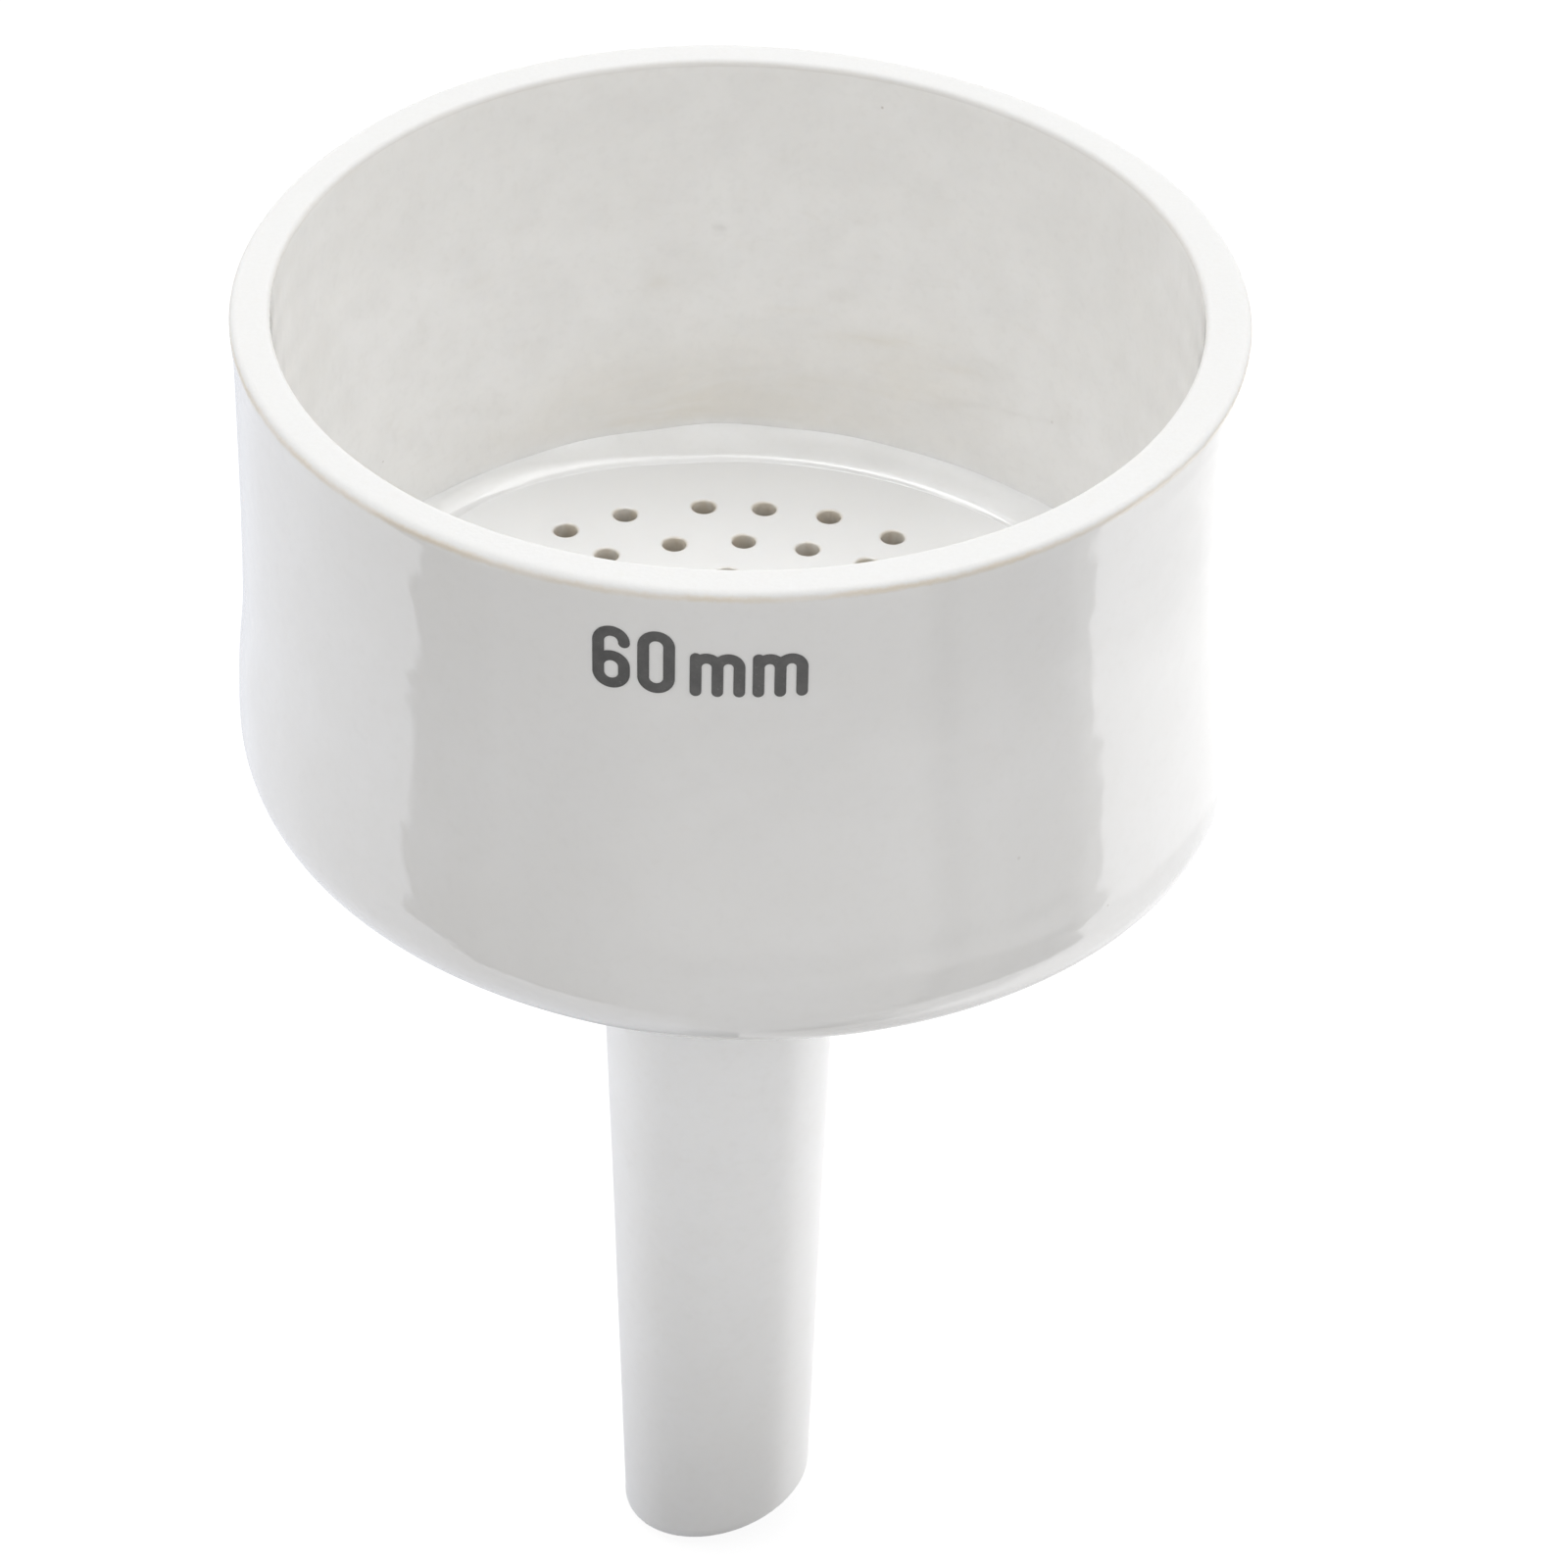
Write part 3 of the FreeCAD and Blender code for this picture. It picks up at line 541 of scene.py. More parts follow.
def build_plate():
    holes = hole_centres()
    points = plate_points(holes)
    flat, tris, sources = triangulate(points)
    vertex_of = -np.ones(len(points), int)
    for vertex, inputs in enumerate(sources):
        for source in inputs:
            vertex_of[source] = vertex
    middle_distance = hole_distance(flat[tris].mean(axis=1), holes)
    tris = tris[middle_distance > HOLE_R * math.cos(math.pi / HOLE_SEGMENTS) - 1e-4]
    tris = anticlockwise(flat, tris)

    near = hole_distance(flat, holes) - HOLE_R
    reach = np.hypot(flat[:, 0], flat[:, 1])
    bearing = np.arctan2(flat[:, 1], flat[:, 0])
    wave = (field(bearing, reach, seed=51, waves=12, amp=0.022, harmonics=5, lengths=(8.0, 22.0))
            * smooth(R_PLATE, R_PLATE - 2.5, reach))
    # clay pushed up a little round each punched hole, softened by the glaze
    collar = 0.016 * bell(near, 0.40, 0.24)
    top = Z_PLATE + wave * 0.8 + collar - lip_drop(near, LIP_TOP)
    low = Z_PLATE_LOW + lip_drop(near, LIP_LOW)
    count = len(flat)
    layers = [np.c_[flat, top], np.c_[flat, low]]
    faces = tris.tolist() + (tris[:, ::-1] + count).tolist()

    def add_wall(loop, levels, corners):
        """Wall from the upper to the lower face; corners orders each quad's vertices."""
        rings = [loop]
        for q in range(1, levels):
            t = q / levels
            rings.append(sum(map(len, layers)) + np.arange(len(loop)))
            layers.append(np.c_[flat[loop], top[loop] * (1 - t) + low[loop] * t])
        rings.append(loop + count)
        for upper, lower in zip(rings, rings[1:]):
            quad = [upper, np.roll(upper, -1), np.roll(lower, -1), lower]
            faces.extend(np.stack([quad[k] for k in corners], axis=-1).tolist())

    per_hole = HOLE_SEGMENTS * len(HOLE_OFFSETS)
    for k in range(len(holes)):
        loop = vertex_of[np.arange(HOLE_SEGMENTS) + k * per_hole]
        add_wall(loop, HOLE_LEVELS, corners=(0, 1, 2, 3))
    edge = vertex_of[len(holes) * per_hole + np.arange(EDGE_SEGMENTS)]
    add_wall(edge, EDGE_LEVELS, corners=(0, 3, 2, 1))
    plate = make_object("perforated_plate", np.vstack(layers), faces)

    in_hole = np.r_[np.ones(len(holes) * HOLE_SEGMENTS * (HOLE_LEVELS - 1)),
                    np.zeros(EDGE_SEGMENTS * (EDGE_LEVELS - 1))]
    mouth, gap = smooth(0.10, -0.02, near), np.minimum(near, 2.0)
    put_attribute(plate, "hole", np.r_[mouth, mouth, in_hole])
    put_attribute(plate, "rim_gap", np.r_[gap, gap, 2.0 * (1 - in_hole)])
    install(plate, "filter_plate")
    return plate


# ----------------------------------------------------------------------------------------------
# Slip fillet round the inside corner above the plate
# ----------------------------------------------------------------------------------------------
ROLL_START, ROLL_END = math.radians(13), math.radians(58)
HEAD_SLOPE = math.radians(21)      # slope of the slip where it leaves the wall


def fillet_section(angle, foot, rise, roll):
    """Section from the wall down to the plate and back underneath."""
    z_wall = Z_PLATE + rise
    r_wall = inner_wall_radius(angle, z_wall)
    r_base = inner_wall_radius(angle, Z_PLATE)
    # the roll's front edge, falling to the plate through a short hollow
    slope = np.linspace(ROLL_START, ROLL_END, 22)
    end = np.array([foot + 0.16, Z_PLATE + 0.07])
    front = np.c_[end[0] + roll * (math.sin(ROLL_END) - np.sin(slope)),
                  end[1] + roll * (np.cos(slope) - math.cos(ROLL_END))]
    tail = conic(end, np.array([end[0] - 0.05, Z_PLATE - 0.008]),
                 np.array([foot - 0.05, Z_PLATE - 0.02]), np.linspace(0, 1, 9)[1:, None])
    # from the wall down the slip's gently sloping back
    start = np.array([r_wall + 0.10, z_wall + 0.03])
    handle = 0.38 * (start[0] - front[0, 0])
    control_1 = start - handle * np.array([1, math.tan(HEAD_SLOPE)])
    control_2 = front[0] + handle * np.array([1, math.tan(ROLL_START)])
    t = np.linspace(0, 1, 22)[:-1, None]
    head = ((1 - t) ** 3 * start + 3 * t * (1 - t) ** 2 * control_1
            + 3 * t ** 2 * (1 - t) * control_2 + t ** 3 * front[0])
    hidden = np.array([
        [foot + 0.25, Z_PLATE - 0.06], [(foot + r_base) / 2, Z_PLATE - 0.08],
        [r_base - 0.2, Z_PLATE - 0.09], [r_base + 0.05, Z_PLATE - 0.09],
        [r_base + 0.08, Z_PLATE + 0.3 * rise], [r_wall + 0.14, z_wall - 0.25 * rise],
        [r_wall + 0.13, z_wall]])
    return np.vstack([head, front, tail, hidden])


def build_fillet():
    angles = around(BOWL_ANGLES)
    bearing = np.degrees(angles)
    foot = (R_FILLET - 2.60 - 0.45 * (1 - smooth(96, 118, bearing)) * smooth(0, 42, bearing)
            + 0.40 * hump(angles, 128, 13)
            + wobble(angles, 61, 2, 9, 0.10) + wobble(angles, 64, 9, 24, 0.03, 0.4))
    # radius of the roll along its front, slackest at the back left
    roll = 0.85 + 0.90 * hump(angles, 130, 26) + 0.25 * wobble(angles, 65, 2, 6, 1.0)
    roll = np.clip(roll, 0.65, 1.9)
    sections = [fillet_section(*values) for values in zip(angles, foot, fillet_rise(angles), roll)]
    angle, radius, z = spread(angles, sections)
    fillet = lathe_mesh("plate_fillet", radius * np.cos(angle), radius * np.sin(angle), z, flip=True)
    install(fillet, "plate_fillet_slip")
    return fillet


# ----------------------------------------------------------------------------------------------
# Stem with its bevelled tip
# ----------------------------------------------------------------------------------------------


def stem_axis_x(z):
    return STEM_DX + STEM_LEAN * np.minimum(np.asarray(z, float), Z_BEAD)


def bevel_z(radius, angle):
    """Level of the bevel's plane: lowest on the low side, at the tip's outer edge."""
    along = (radius * math.cos(angle) * math.cos(LOW_SIDE)
             + radius * math.sin(angle) * math.sin(LOW_SIDE))
    low_edge = -TIP_ROUND * (math.tan(BEVEL) + 1 / math.cos(BEVEL) - 1)
    return low_edge + (R_TIP - along) * math.tan(BEVEL)


# Runs of the stem's section: down the outside, across the tip, up the bore, over the spigot
STEM_OUTSIDE, TIP, BORE, SPIGOT_TOP, SPIGOT_WALL, STEP = range(6)


def stem_section(angle):
    z_outer, z_inner = bevel_z(R_TIP, angle), bevel_z(R_BORE_TIP, angle)
    outer_z = np.linspace(Z_STEP, z_outer, 60)
    outer_r = R_TIP + 0.07 * smooth(45, 2, outer_z) + TAPER * outer_z
    bore_z = np.linspace(z_inner, Z_SPIGOT, 40)
    widening = (R_BORE_TOP - R_BORE_TIP) * (bore_z - z_inner) / (Z_SPIGOT - z_inner)
    return section([
        (np.c_[outer_r, outer_z], 0.1, 110),
        ([[outer_r[-1], z_outer], [R_BORE_TIP, z_inner]], TIP_ROUND, 6),
        (np.c_[R_BORE_TIP + widening, bore_z], 0.35, 70),
        ([[R_BORE_TOP, Z_SPIGOT], [R_SPIGOT, Z_SPIGOT]], 0.4, 5),
        ([[R_SPIGOT, Z_SPIGOT], [R_SPIGOT, Z_STEP]], 0.2, 10),
        ([[R_SPIGOT, Z_STEP], [outer_r[0], Z_STEP]], 0.1, 4)])


def build_stem():
    angles = around(STEM_ANGLES)
    sections = []
    for angle in angles:
        points, tags = stem_section(angle)
        sections.append(points)
    angle, radius, z = spread(angles, sections)
    outside = tagged(tags, STEM_OUTSIDE)
    radius += (field(angle, z, seed=71, waves=12, amp=0.030, harmonics=4, lengths=(14.0, 50.0))
               * outside * smooth(1.0, 6.0, z) * smooth(Z_SEAT, Z_SEAT - 2, z))
    radius += wobble(angle, 72, 2, 3, 0.035) * outside * smooth(Z_SEAT, Z_SEAT - 3, z)
    # the spigot stays true in the outlet; bore and outside follow the leaning axis
    bore = tagged(tags, BORE, corner(TIP), corner(BORE))
    shell = tagged(tags, STEM_OUTSIDE, TIP)
    step = ~(bore | shell) * (z < Z_SEAT) * np.clip((radius - R_SPIGOT) / 1.0, 0, 1)
    follow = bore * smooth(Z_SEAT + 0.2, Z_BEAD + 0.3, z) + shell + step
    x = radius * np.cos(angle) + stem_axis_x(z) * np.clip(follow, 0, 1)
    stem = lathe_mesh("stem_tube", x, radius * np.sin(angle), z)
    interior = tagged(tags, BORE, SPIGOT_TOP, corner(BORE), corner(SPIGOT_TOP))
    put_attribute(stem, "interior", np.broadcast_to(interior, z.shape).T)
    # painted light: the stem's glaze is made whiter towards the top, most on the left, standing in
    # for light falling there
    painted_top_light = smooth(4, 46, z) * (0.55 + 0.45 * hump(angle, 205, 70))
    put_attribute(stem, "painted_top_light", painted_top_light.T)
    install(stem, "stem")
    return stem


# ----------------------------------------------------------------------------------------------
# Slip fillet between the bowl's underside and the stem
# ----------------------------------------------------------------------------------------------


def bead_section(angle, r_top, z_foot, shift_x):
    def seat(radius):
        """Level of the bowl's underside over a point of the off-centre joint."""
        reach = math.hypot(radius * math.cos(angle) + shift_x, radius * math.sin(angle))
        return float(dish_z(reach)) if reach > R_SEAT_FLAT else Z_SEAT

    r_foot = R_TIP + TAPER * z_foot
    r_stem = R_TIP + TAPER * Z_STEP
    r_mid = (r_stem + r_top) / 2
    hollow = np.array([r_stem + 0.06, Z_SEAT + 0.55 * (seat(r_top) - Z_SEAT) - 0.30])
    skin = conic(np.array([r_top, seat(r_top) + 0.02]), hollow, np.array([r_foot - 0.015, z_foot]),
                 np.linspace(0, 1, 31)[:, None], weight=0.8)
    hidden = np.array([
        [r_foot - 0.08, z_foot + 0.1], [(r_foot + r_stem) / 2 - 0.08, (z_foot + Z_STEP) / 2],
        [r_stem - 0.06, Z_STEP], [r_stem - 0.06, seat(r_stem - 0.06) + 0.06],
        [r_mid, seat(r_mid) + 0.10], [r_top - 0.1, seat(r_top - 0.1) + 0.08]])
    return np.vstack([skin, hidden])


def build_bead():
    angles = around(STEM_ANGLES)
    tops = R_BEAD_BOWL + wobble(angles, 81, 1, 6, 0.28)
    feet = Z_BEAD + wobble(angles, 82, 1, 6, 0.35)
    shift_x = float(stem_axis_x(Z_BEAD))
    sections = [bead_section(*values, shift_x) for values in zip(angles, tops, feet)]
    angle, radius, z = spread(angles, sections)
    x = radius * np.cos(angle) + shift_x
    bead = lathe_mesh("stem_fillet", x, radius * np.sin(angle), z)
    install(bead, "stem_fillet_slip")
    return bead


# ----------------------------------------------------------------------------------------------
# Size mark: "60 mm" in plain strokes with round ends, a thin film that follows the made wall
# ----------------------------------------------------------------------------------------------


def line(x0, y0, x1, y1):
    count = max(2, int(math.hypot(x1 - x0, y1 - y0) / STROKE_STEP))
    t = np.linspace(0, 1, count + 1)[:, None]
    return np.array([x0, y0]) * (1 - t) + np.array([x1, y1]) * t


def bow(x, y, radius, start, end):
    count = max(4, int(abs(math.radians(end - start)) * radius / STROKE_STEP))
    angle = np.radians(np.linspace(start, end, count + 1))
    return np.c_[x + radius * np.cos(angle), y + radius * np.sin(angle)]


def glyph_zero(x, height=CAP):
    """Upright closed loop of a digit's width."""
    radius = (DIGIT_WIDTH - STROKE) / 2
    middle = x + DIGIT_WIDTH / 2
    low, high = STROKE / 2 + radius, height - STROKE / 2 - radius
    return [np.vstack([line(middle + radius, low, middle + radius, high),
                       bow(middle, high, radius, 0, 180),
                       line(middle - radius, high, middle - radius, low),
                       bow(middle, low, radius, 180, 360)])]


def glyph_six(x):
    radius = (DIGIT_WIDTH - STROKE) / 2
    middle = x + DIGIT_WIDTH / 2
    high = CAP - STROKE / 2 - radius
    back = np.vstack([line(middle - radius, STROKE / 2 + radius, middle - radius, high),
                      bow(middle, high, radius, 180, 0)])
    return glyph_zero(x, 0.6 * CAP) + [back]


def glyph_m(x):
    top = LOW_HEIGHT - STROKE / 2
    strokes = [line(x + STROKE / 2, STROKE / 2, x + STROKE / 2, top)]
    arch = (M_WIDTH - STROKE) / 2
    radius = arch / 2
    for k in (0, 1):
        left = x + STROKE / 2 + k * arch
        strokes.append(np.vstack([bow(left + radius, top - radius, radius, 180, 0),
                                  line(left + arch, top - radius, left + arch, STROKE / 2)]))
    return strokes


def stroke_distance(points, strokes):
    """Distance of each point from the nearest stroke's centre line."""
    best = np.full(len(points), 1e9)
    for stroke in strokes:
        start = stroke[:-1]
        leg = stroke[1:] - start
        squared = np.maximum((leg ** 2).sum(1), 1e-12)
        spot = points[:, None, :]
        t = np.clip(((spot - start) * leg).sum(2) / squared, 0, 1)
        distance = np.hypot(*(spot - (start + t[..., None] * leg)).transpose(2, 0, 1))
        best = np.minimum(best, distance.min(axis=1))
    return best


def fill_strokes(strokes, half):
    """Triangles covering round-ended strokes of half-width half."""
    outline = []
    for stroke in strokes:
        tangent = np.gradient(stroke, axis=0)
        tangent /= np.maximum(np.hypot(tangent[:, 0], tangent[:, 1]), 1e-12)[:, None]
        normal = np.c_[-tangent[:, 1], tangent[:, 0]]
        outline += [stroke + half * normal, stroke - half * normal]
        for end, way in ((stroke[0], -tangent[0]), (stroke[-1], tangent[-1])):
            heading = math.degrees(math.atan2(way[1], way[0]))
            outline.append(bow(end[0], end[1], half, heading - 90, heading + 90))
    outline = np.vstack(outline)
    outline = outline[stroke_distance(outline, strokes) > half - 2e-3]
    cloud = np.vstack([outline, np.vstack(strokes)[::2]])
    verts, tris, _ = triangulate(np.unique(np.round(cloud, 4), axis=0))
    tris = tris[stroke_distance(verts[tris].mean(axis=1), strokes) < half - 1e-3]
    tris = tris[np.abs(doubled_area(verts, tris)) > 1e-7]
    return verts, anticlockwise(verts, tris)


def build_mark():
    verts, faces = [], []
    x_at = float(mark_lo[0])
    for glyph, advance in ((glyph_six, DIGIT_WIDTH + GAP), (glyph_zero, DIGIT_WIDTH + 2 * GAP),
                           (glyph_m, M_WIDTH + GAP), (glyph_m, 0.0)):
        flat, tris = fill_strokes(glyph(x_at), STROKE / 2)
        x_at += advance
        used, tris = np.unique(tris, return_inverse=True)
        flat, tris = flat[used], tris.reshape(-1, 3)
        angle = np.arcsin(np.clip(flat[:, 0] / R_MARK_WRAP, -1, 1)) - math.pi / 2
        z = flat[:, 1] + mark_lo[2]
        wall = wall_outer(z) + as_made_shift(angle, z) + unevenness(angle, z)
        base, count = len(verts), len(flat)
        for lift in (FILM_OUT, FILM_IN):
            radius = wall + lift
            verts += np.c_[radius * np.cos(angle), radius * np.sin(angle), z].tolist()
        faces += (tris + base).tolist()
        faces += (tris[:, ::-1] + base + count).tolist()
        # an edge walked one way only lies on the outline and gets a side wall
        edges = dict.fromkeys(edge for a, b, c in (tris + base).tolist()
                              for edge in ((a, b), (b, c), (c, a)))
        faces += [[a, a + count, b + count, b] for a, b in edges if (b, a) not in edges]
    mark = make_object("size_mark_film", verts, faces, smooth_shade=False)
    install(mark, "size_mark")
    return mark


bowl = build_bowl()
plate = build_plate()
fillet = build_fillet()
stem = build_stem()
bead = build_bead()
mark = build_mark()

# ----------------------------------------------------------------------------------------------
# Materials
# ----------------------------------------------------------------------------------------------


class Nodes:
    """Short-hand for building a node tree. Colours are given as (r, g, b)."""

    def __init__(self, tree, output="OutputMaterial"):
        self.tree = tree
        tree.nodes.clear()
        self.output = self.add(output)

    def add(self, kind, inputs=None, **settings):
        node = self.tree.nodes.new("ShaderNode" + kind)
        for key, value in settings.items():
            setattr(node, key, value)
        for key, value in (inputs or {}).items():
            self.feed(node.inputs[key], value)
        return node

    def feed(self, socket, value):
        if isinstance(value, bpy.types.NodeSocket):
            self.tree.links.new(value, socket)
        elif socket.type == "RGBA":
            socket.default_value = (*value, 1.0)
        else:
            socket.default_value = value

    def finish(self, shader):
        self.feed(self.output.inputs["Surface"], shader)

    def math(self, operation, first, second=0.0, third=0.0, clamp=False):
        return self.add("Math", {0: first, 1: second, 2: third}, operation=operation,
                        use_clamp=clamp).outputs[0]

    def plus(self, first, second):
        return self.math("ADD", first, second)

    def minus(self, first, second):
        return self.math("SUBTRACT", first, second)

    def times(self, first, second, clamp=False):
        return self.math("MULTIPLY", first, second, clamp=clamp)

    def times_plus(self, value, factor, offset, clamp=False):
        return self.math("MULTIPLY_ADD", value, factor, offset, clamp)

    def vector(self, operation, *values, out="Vector"):
        return self.add("VectorMath", dict(enumerate(values)), operation=operation).outputs[out]

    def mix(self, mask, base, other, amount=None):
        """Colour going from base to other by the mask, scaled by amount."""
        factor = mask if amount is None else self.times(mask, amount)
        return self.add("Mix", {0: factor, 6: base, 7: other}, data_type="RGBA").outputs[2]

    def noise(self, where, scale, detail=2.0, rough=0.5, distortion=0.0):
        return self.add("TexNoise", {"Vector": where, "Scale": scale, "Detail": detail,
                                     "Roughness": rough, "Distortion": distortion}).outputs[0]

    def ramp(self, value, span, to=(0.0, 1.0)):
        """Smoothstep over the span, from to[0] to to[1]."""
        return self.add("MapRange", {"Value": value, "From Min": span[0], "From Max": span[1],
                                     "To Min": to[0], "To Max": to[1]},
                        interpolation_type="SMOOTHSTEP").outputs[0]

    def band(self, value, rise, fall, height=1.0):
        """Plateau that climbs over one span and falls over another."""
        return self.times(self.ramp(value, span=rise, to=(0.0, height)),
                          self.ramp(value, span=fall, to=(1.0, 0.0)))

    def attribute(self, name):
        return self.add("Attribute", attribute_name=name).outputs["Fac"]

    def grey(self, value):
        return self.add("CombineXYZ", {0: value, 1: value, 2: value}).outputs[0]

    def bump(self, strength, distance, height):
        return self.add("Bump", {"Strength": strength, "Distance": distance,
                                 "Height": height}).outputs[0]

    def mix_shader(self, factor, first, second):
        return self.add("MixShader", {0: factor, 1: first, 2: second}).outputs[0]


def new_material(name):
    material = bpy.data.materials.new(name)
    material.use_nodes = True
    return material, Nodes(material.node_tree)


def shade(colour, by):
    return tuple(channel * factor for channel, factor in zip(colour, by))


# Stains of the bowl's inside wall
STAIN_TAN, STAIN_LOOSE = (0.745, 0.700, 0.615), (0.62, 0.57, 0.49)
FLECK_GREY, FILLET_WHITE = (0.42, 0.40, 0.37), (0.880, 0.878, 0.870)
# Iron specks, and the share of cells that hold one
SPECK_BROWN, SPECK_SHARE = (0.25, 0.20, 0.15), 0.045
# Inside the plate's holes and round their mouths
HOLE_TAN, MOUTH_TAN = (0.70, 0.665, 0.600), (0.60, 0.51, 0.38)
# Bare bisque of the land: two greys, grit, and tan flashing on the bisque and on the glaze
BISQUE, BISQUE_DARK, GRIT = (0.750, 0.749, 0.742), (0.736, 0.734, 0.724), (0.722, 0.706, 0.676)
FLASH_BARE, FLASH_GLAZE = (0.66, 0.55, 0.40), (0.62, 0.52, 0.37)


def stained(nodes, where, inner):
    """Tan stains, a grey fleck and the whiter glaze by the fillet."""
    stretched = nodes.vector("MULTIPLY", where, (110.0, 110.0, 420.0))
    smear = nodes.noise(stretched, scale=1.0, detail=3.0, rough=0.65, distortion=0.8)
    patchy = nodes.times(nodes.attribute("stain"),
                         nodes.ramp(smear, span=(0.28, 0.68), to=(0.45, 1.0)))
    inner = nodes.mix(patchy, inner, STAIN_TAN, amount=0.62)
    inner = nodes.mix(nodes.ramp(smear, span=(0.62, 0.80)), inner, STAIN_LOOSE, amount=0.10)
    inner = nodes.mix(nodes.attribute("fleck"), inner, FLECK_GREY, amount=0.30)
    return nodes.mix(nodes.attribute("near_fillet"), inner, FILLET_WHITE, amount=0.75)


def body_colour(nodes, where, tint, inner_tint, features):
    """Slow drift of the glaze under a finer mottle, with its own tint inside; on the bowl this paler
    inside tint is painted light.
    """
    slow = nodes.noise(where, scale=38.0, rough=0.55, distortion=0.3)
    mottle = nodes.noise(where, scale=260.0, detail=3.0, rough=0.6)
    fine = nodes.noise(where, scale=1500.0, rough=0.55)
    base = nodes.mix(nodes.ramp(slow, span=(0.35, 0.68)), tint,
                     shade(tint, by=(0.972, 0.970, 0.964)))
    if inner_tint is not None:
        inner = nodes.mix(nodes.ramp(slow, span=(0.3, 0.7)), inner_tint,
                          shade(inner_tint, by=(0.965, 0.963, 0.955)))
        if "stain" in features:
            inner = stained(nodes, where, inner)
        base = nodes.mix(nodes.attribute("interior"), base, inner)
    # painted light: whiter glaze where the stem's top-left light mask is set
    if "painted_top_light" in features:
        base = nodes.mix(nodes.attribute("painted_top_light"), base, shade(tint, by=(1.058, 1.062, 1.068)))
    base = nodes.mix(nodes.ramp(mottle, span=(0.3, 0.75)), base,
                     shade(tint, by=(0.945, 0.940, 0.925)), amount=0.30)
    return nodes.mix(nodes.ramp(fine, span=(0.45, 0.8)), base,
                     shade(tint, by=(0.88, 0.87, 0.85)), amount=0.14)


def specked(nodes, where, base):
    """Rare iron specks under the glaze, each cell with its own size and depth."""
    cells = nodes.add("TexVoronoi", {"Vector": where, "Scale": 330.0, "Randomness": 1.0})
    pick = nodes.add("SeparateColor", {"Color": cells.outputs["Color"]}).outputs
    size = nodes.times_plus(pick["Green"], factor=0.050, offset=0.022)
    dot = nodes.math("SUBTRACT", 1.0, nodes.math("DIVIDE", cells.outputs["Distance"], size),
                     clamp=True)
    rare = nodes.math("GREATER_THAN", pick["Red"], 1.0 - SPECK_SHARE)
    speck = nodes.times(nodes.times(dot, rare),
                        nodes.times_plus(pick["Blue"], factor=0.45, offset=0.12), clamp=True)
    return nodes.mix(speck, base, SPECK_BROWN)


def hole_tints_and_back_shade(nodes, position, where, base, tint):
    """Painted shade: greyer glaze towards the back, where the back wall shades the plate; warm hole
    walls, an iron-tinged line round each mouth.
    """
    along_y = nodes.add("SeparateXYZ", {0: position}).outputs[1]
    # painted shade: the glaze darkens towards the back wall, standing in for the wall's shadow
    base = nodes.mix(nodes.ramp(along_y, span=(0.004, 0.024)), base,
                     shade(tint, by=(0.945, 0.943, 0.938)))
    base = nodes.mix(nodes.attribute("hole"), base, HOLE_TAN, amount=0.55)
    gap = nodes.attribute("rim_gap")
    broken = nodes.noise(where, scale=700.0, rough=0.6)
    ring = nodes.times(nodes.ramp(gap, span=(0.02, 0.26), to=(1.0, 0.0)),
                       nodes.ramp(broken, span=(0.30, 0.62), to=(0.25, 1.0)))
    return nodes.mix(ring, base, MOUTH_TAN, amount=0.50)


def bare_rim(nodes, where, base, glaze):
    """Bare bisque on the land: the flashed glaze colour, and the glaze mixed with the bisque."""
    depth, side = nodes.attribute("below"), nodes.attribute("outer_side")
    # the glaze stops just below the land; its edge creeps in and out at grain scale
    creep = nodes.times_plus(nodes.noise(where, scale=260.0), factor=0.22, offset=-0.11)
    fine_creep = nodes.times_plus(nodes.noise(where, scale=1900.0, detail=3.0, rough=0.6),
                                  factor=0.24, offset=-0.12)
    creep = nodes.plus(creep, fine_creep)
    height = nodes.plus(nodes.plus(depth, creep),
                        nodes.times_plus(side, factor=0.06, offset=0.27))
    bare = nodes.ramp(height, span=(-0.06, 0.06))
    # tan flashing where the glaze runs out, strongest on the outside
    near_edge = nodes.plus(height, nodes.times_plus(side, factor=0.10, offset=-0.02))
    near_edge = nodes.math("ABSOLUTE", near_edge)
    strength = nodes.times_plus(side, factor=0.78, offset=0.16)
    patch = nodes.ramp(nodes.noise(where, scale=150.0, detail=3.0, rough=0.6),
                       span=(0.30, 0.62), to=(0.45, 1.0))
    edge = nodes.ramp(near_edge, span=(0.0, 0.30), to=(0.85, 0.0))
    tan = nodes.times(nodes.times(edge, strength), patch, clamp=True)
    grain = nodes.noise(where, scale=3600.0, detail=3.0, rough=0.65)
    grit = nodes.noise(where, scale=900.0)
    colour = nodes.mix(nodes.ramp(grain, span=(0.3, 0.75)), BISQUE, BISQUE_DARK)
    colour = nodes.mix(nodes.ramp(grit, span=(0.55, 0.8)), colour, GRIT, amount=0.18)
    colour = nodes.mix(tan, colour, FLASH_BARE, amount=0.85)
    relief = nodes.plus(grain, nodes.times(grit, 1.2))
    bisque = nodes.add("BsdfPrincipled", {
        "Base Color": colour, "Roughness": 0.72, "IOR": 1.45,
        "Normal": nodes.bump(strength=0.16, distance=0.00010, height=relief),
        "Specular IOR Level": 0.3, "Subsurface Weight": 0.10,
        "Subsurface Radius": (1.0, 0.9, 0.75), "Subsurface Scale": 0.0010})
    return (nodes.mix(tan, base, FLASH_GLAZE, amount=0.70),
            nodes.mix_shader(bare, glaze, bisque.outputs[0]))


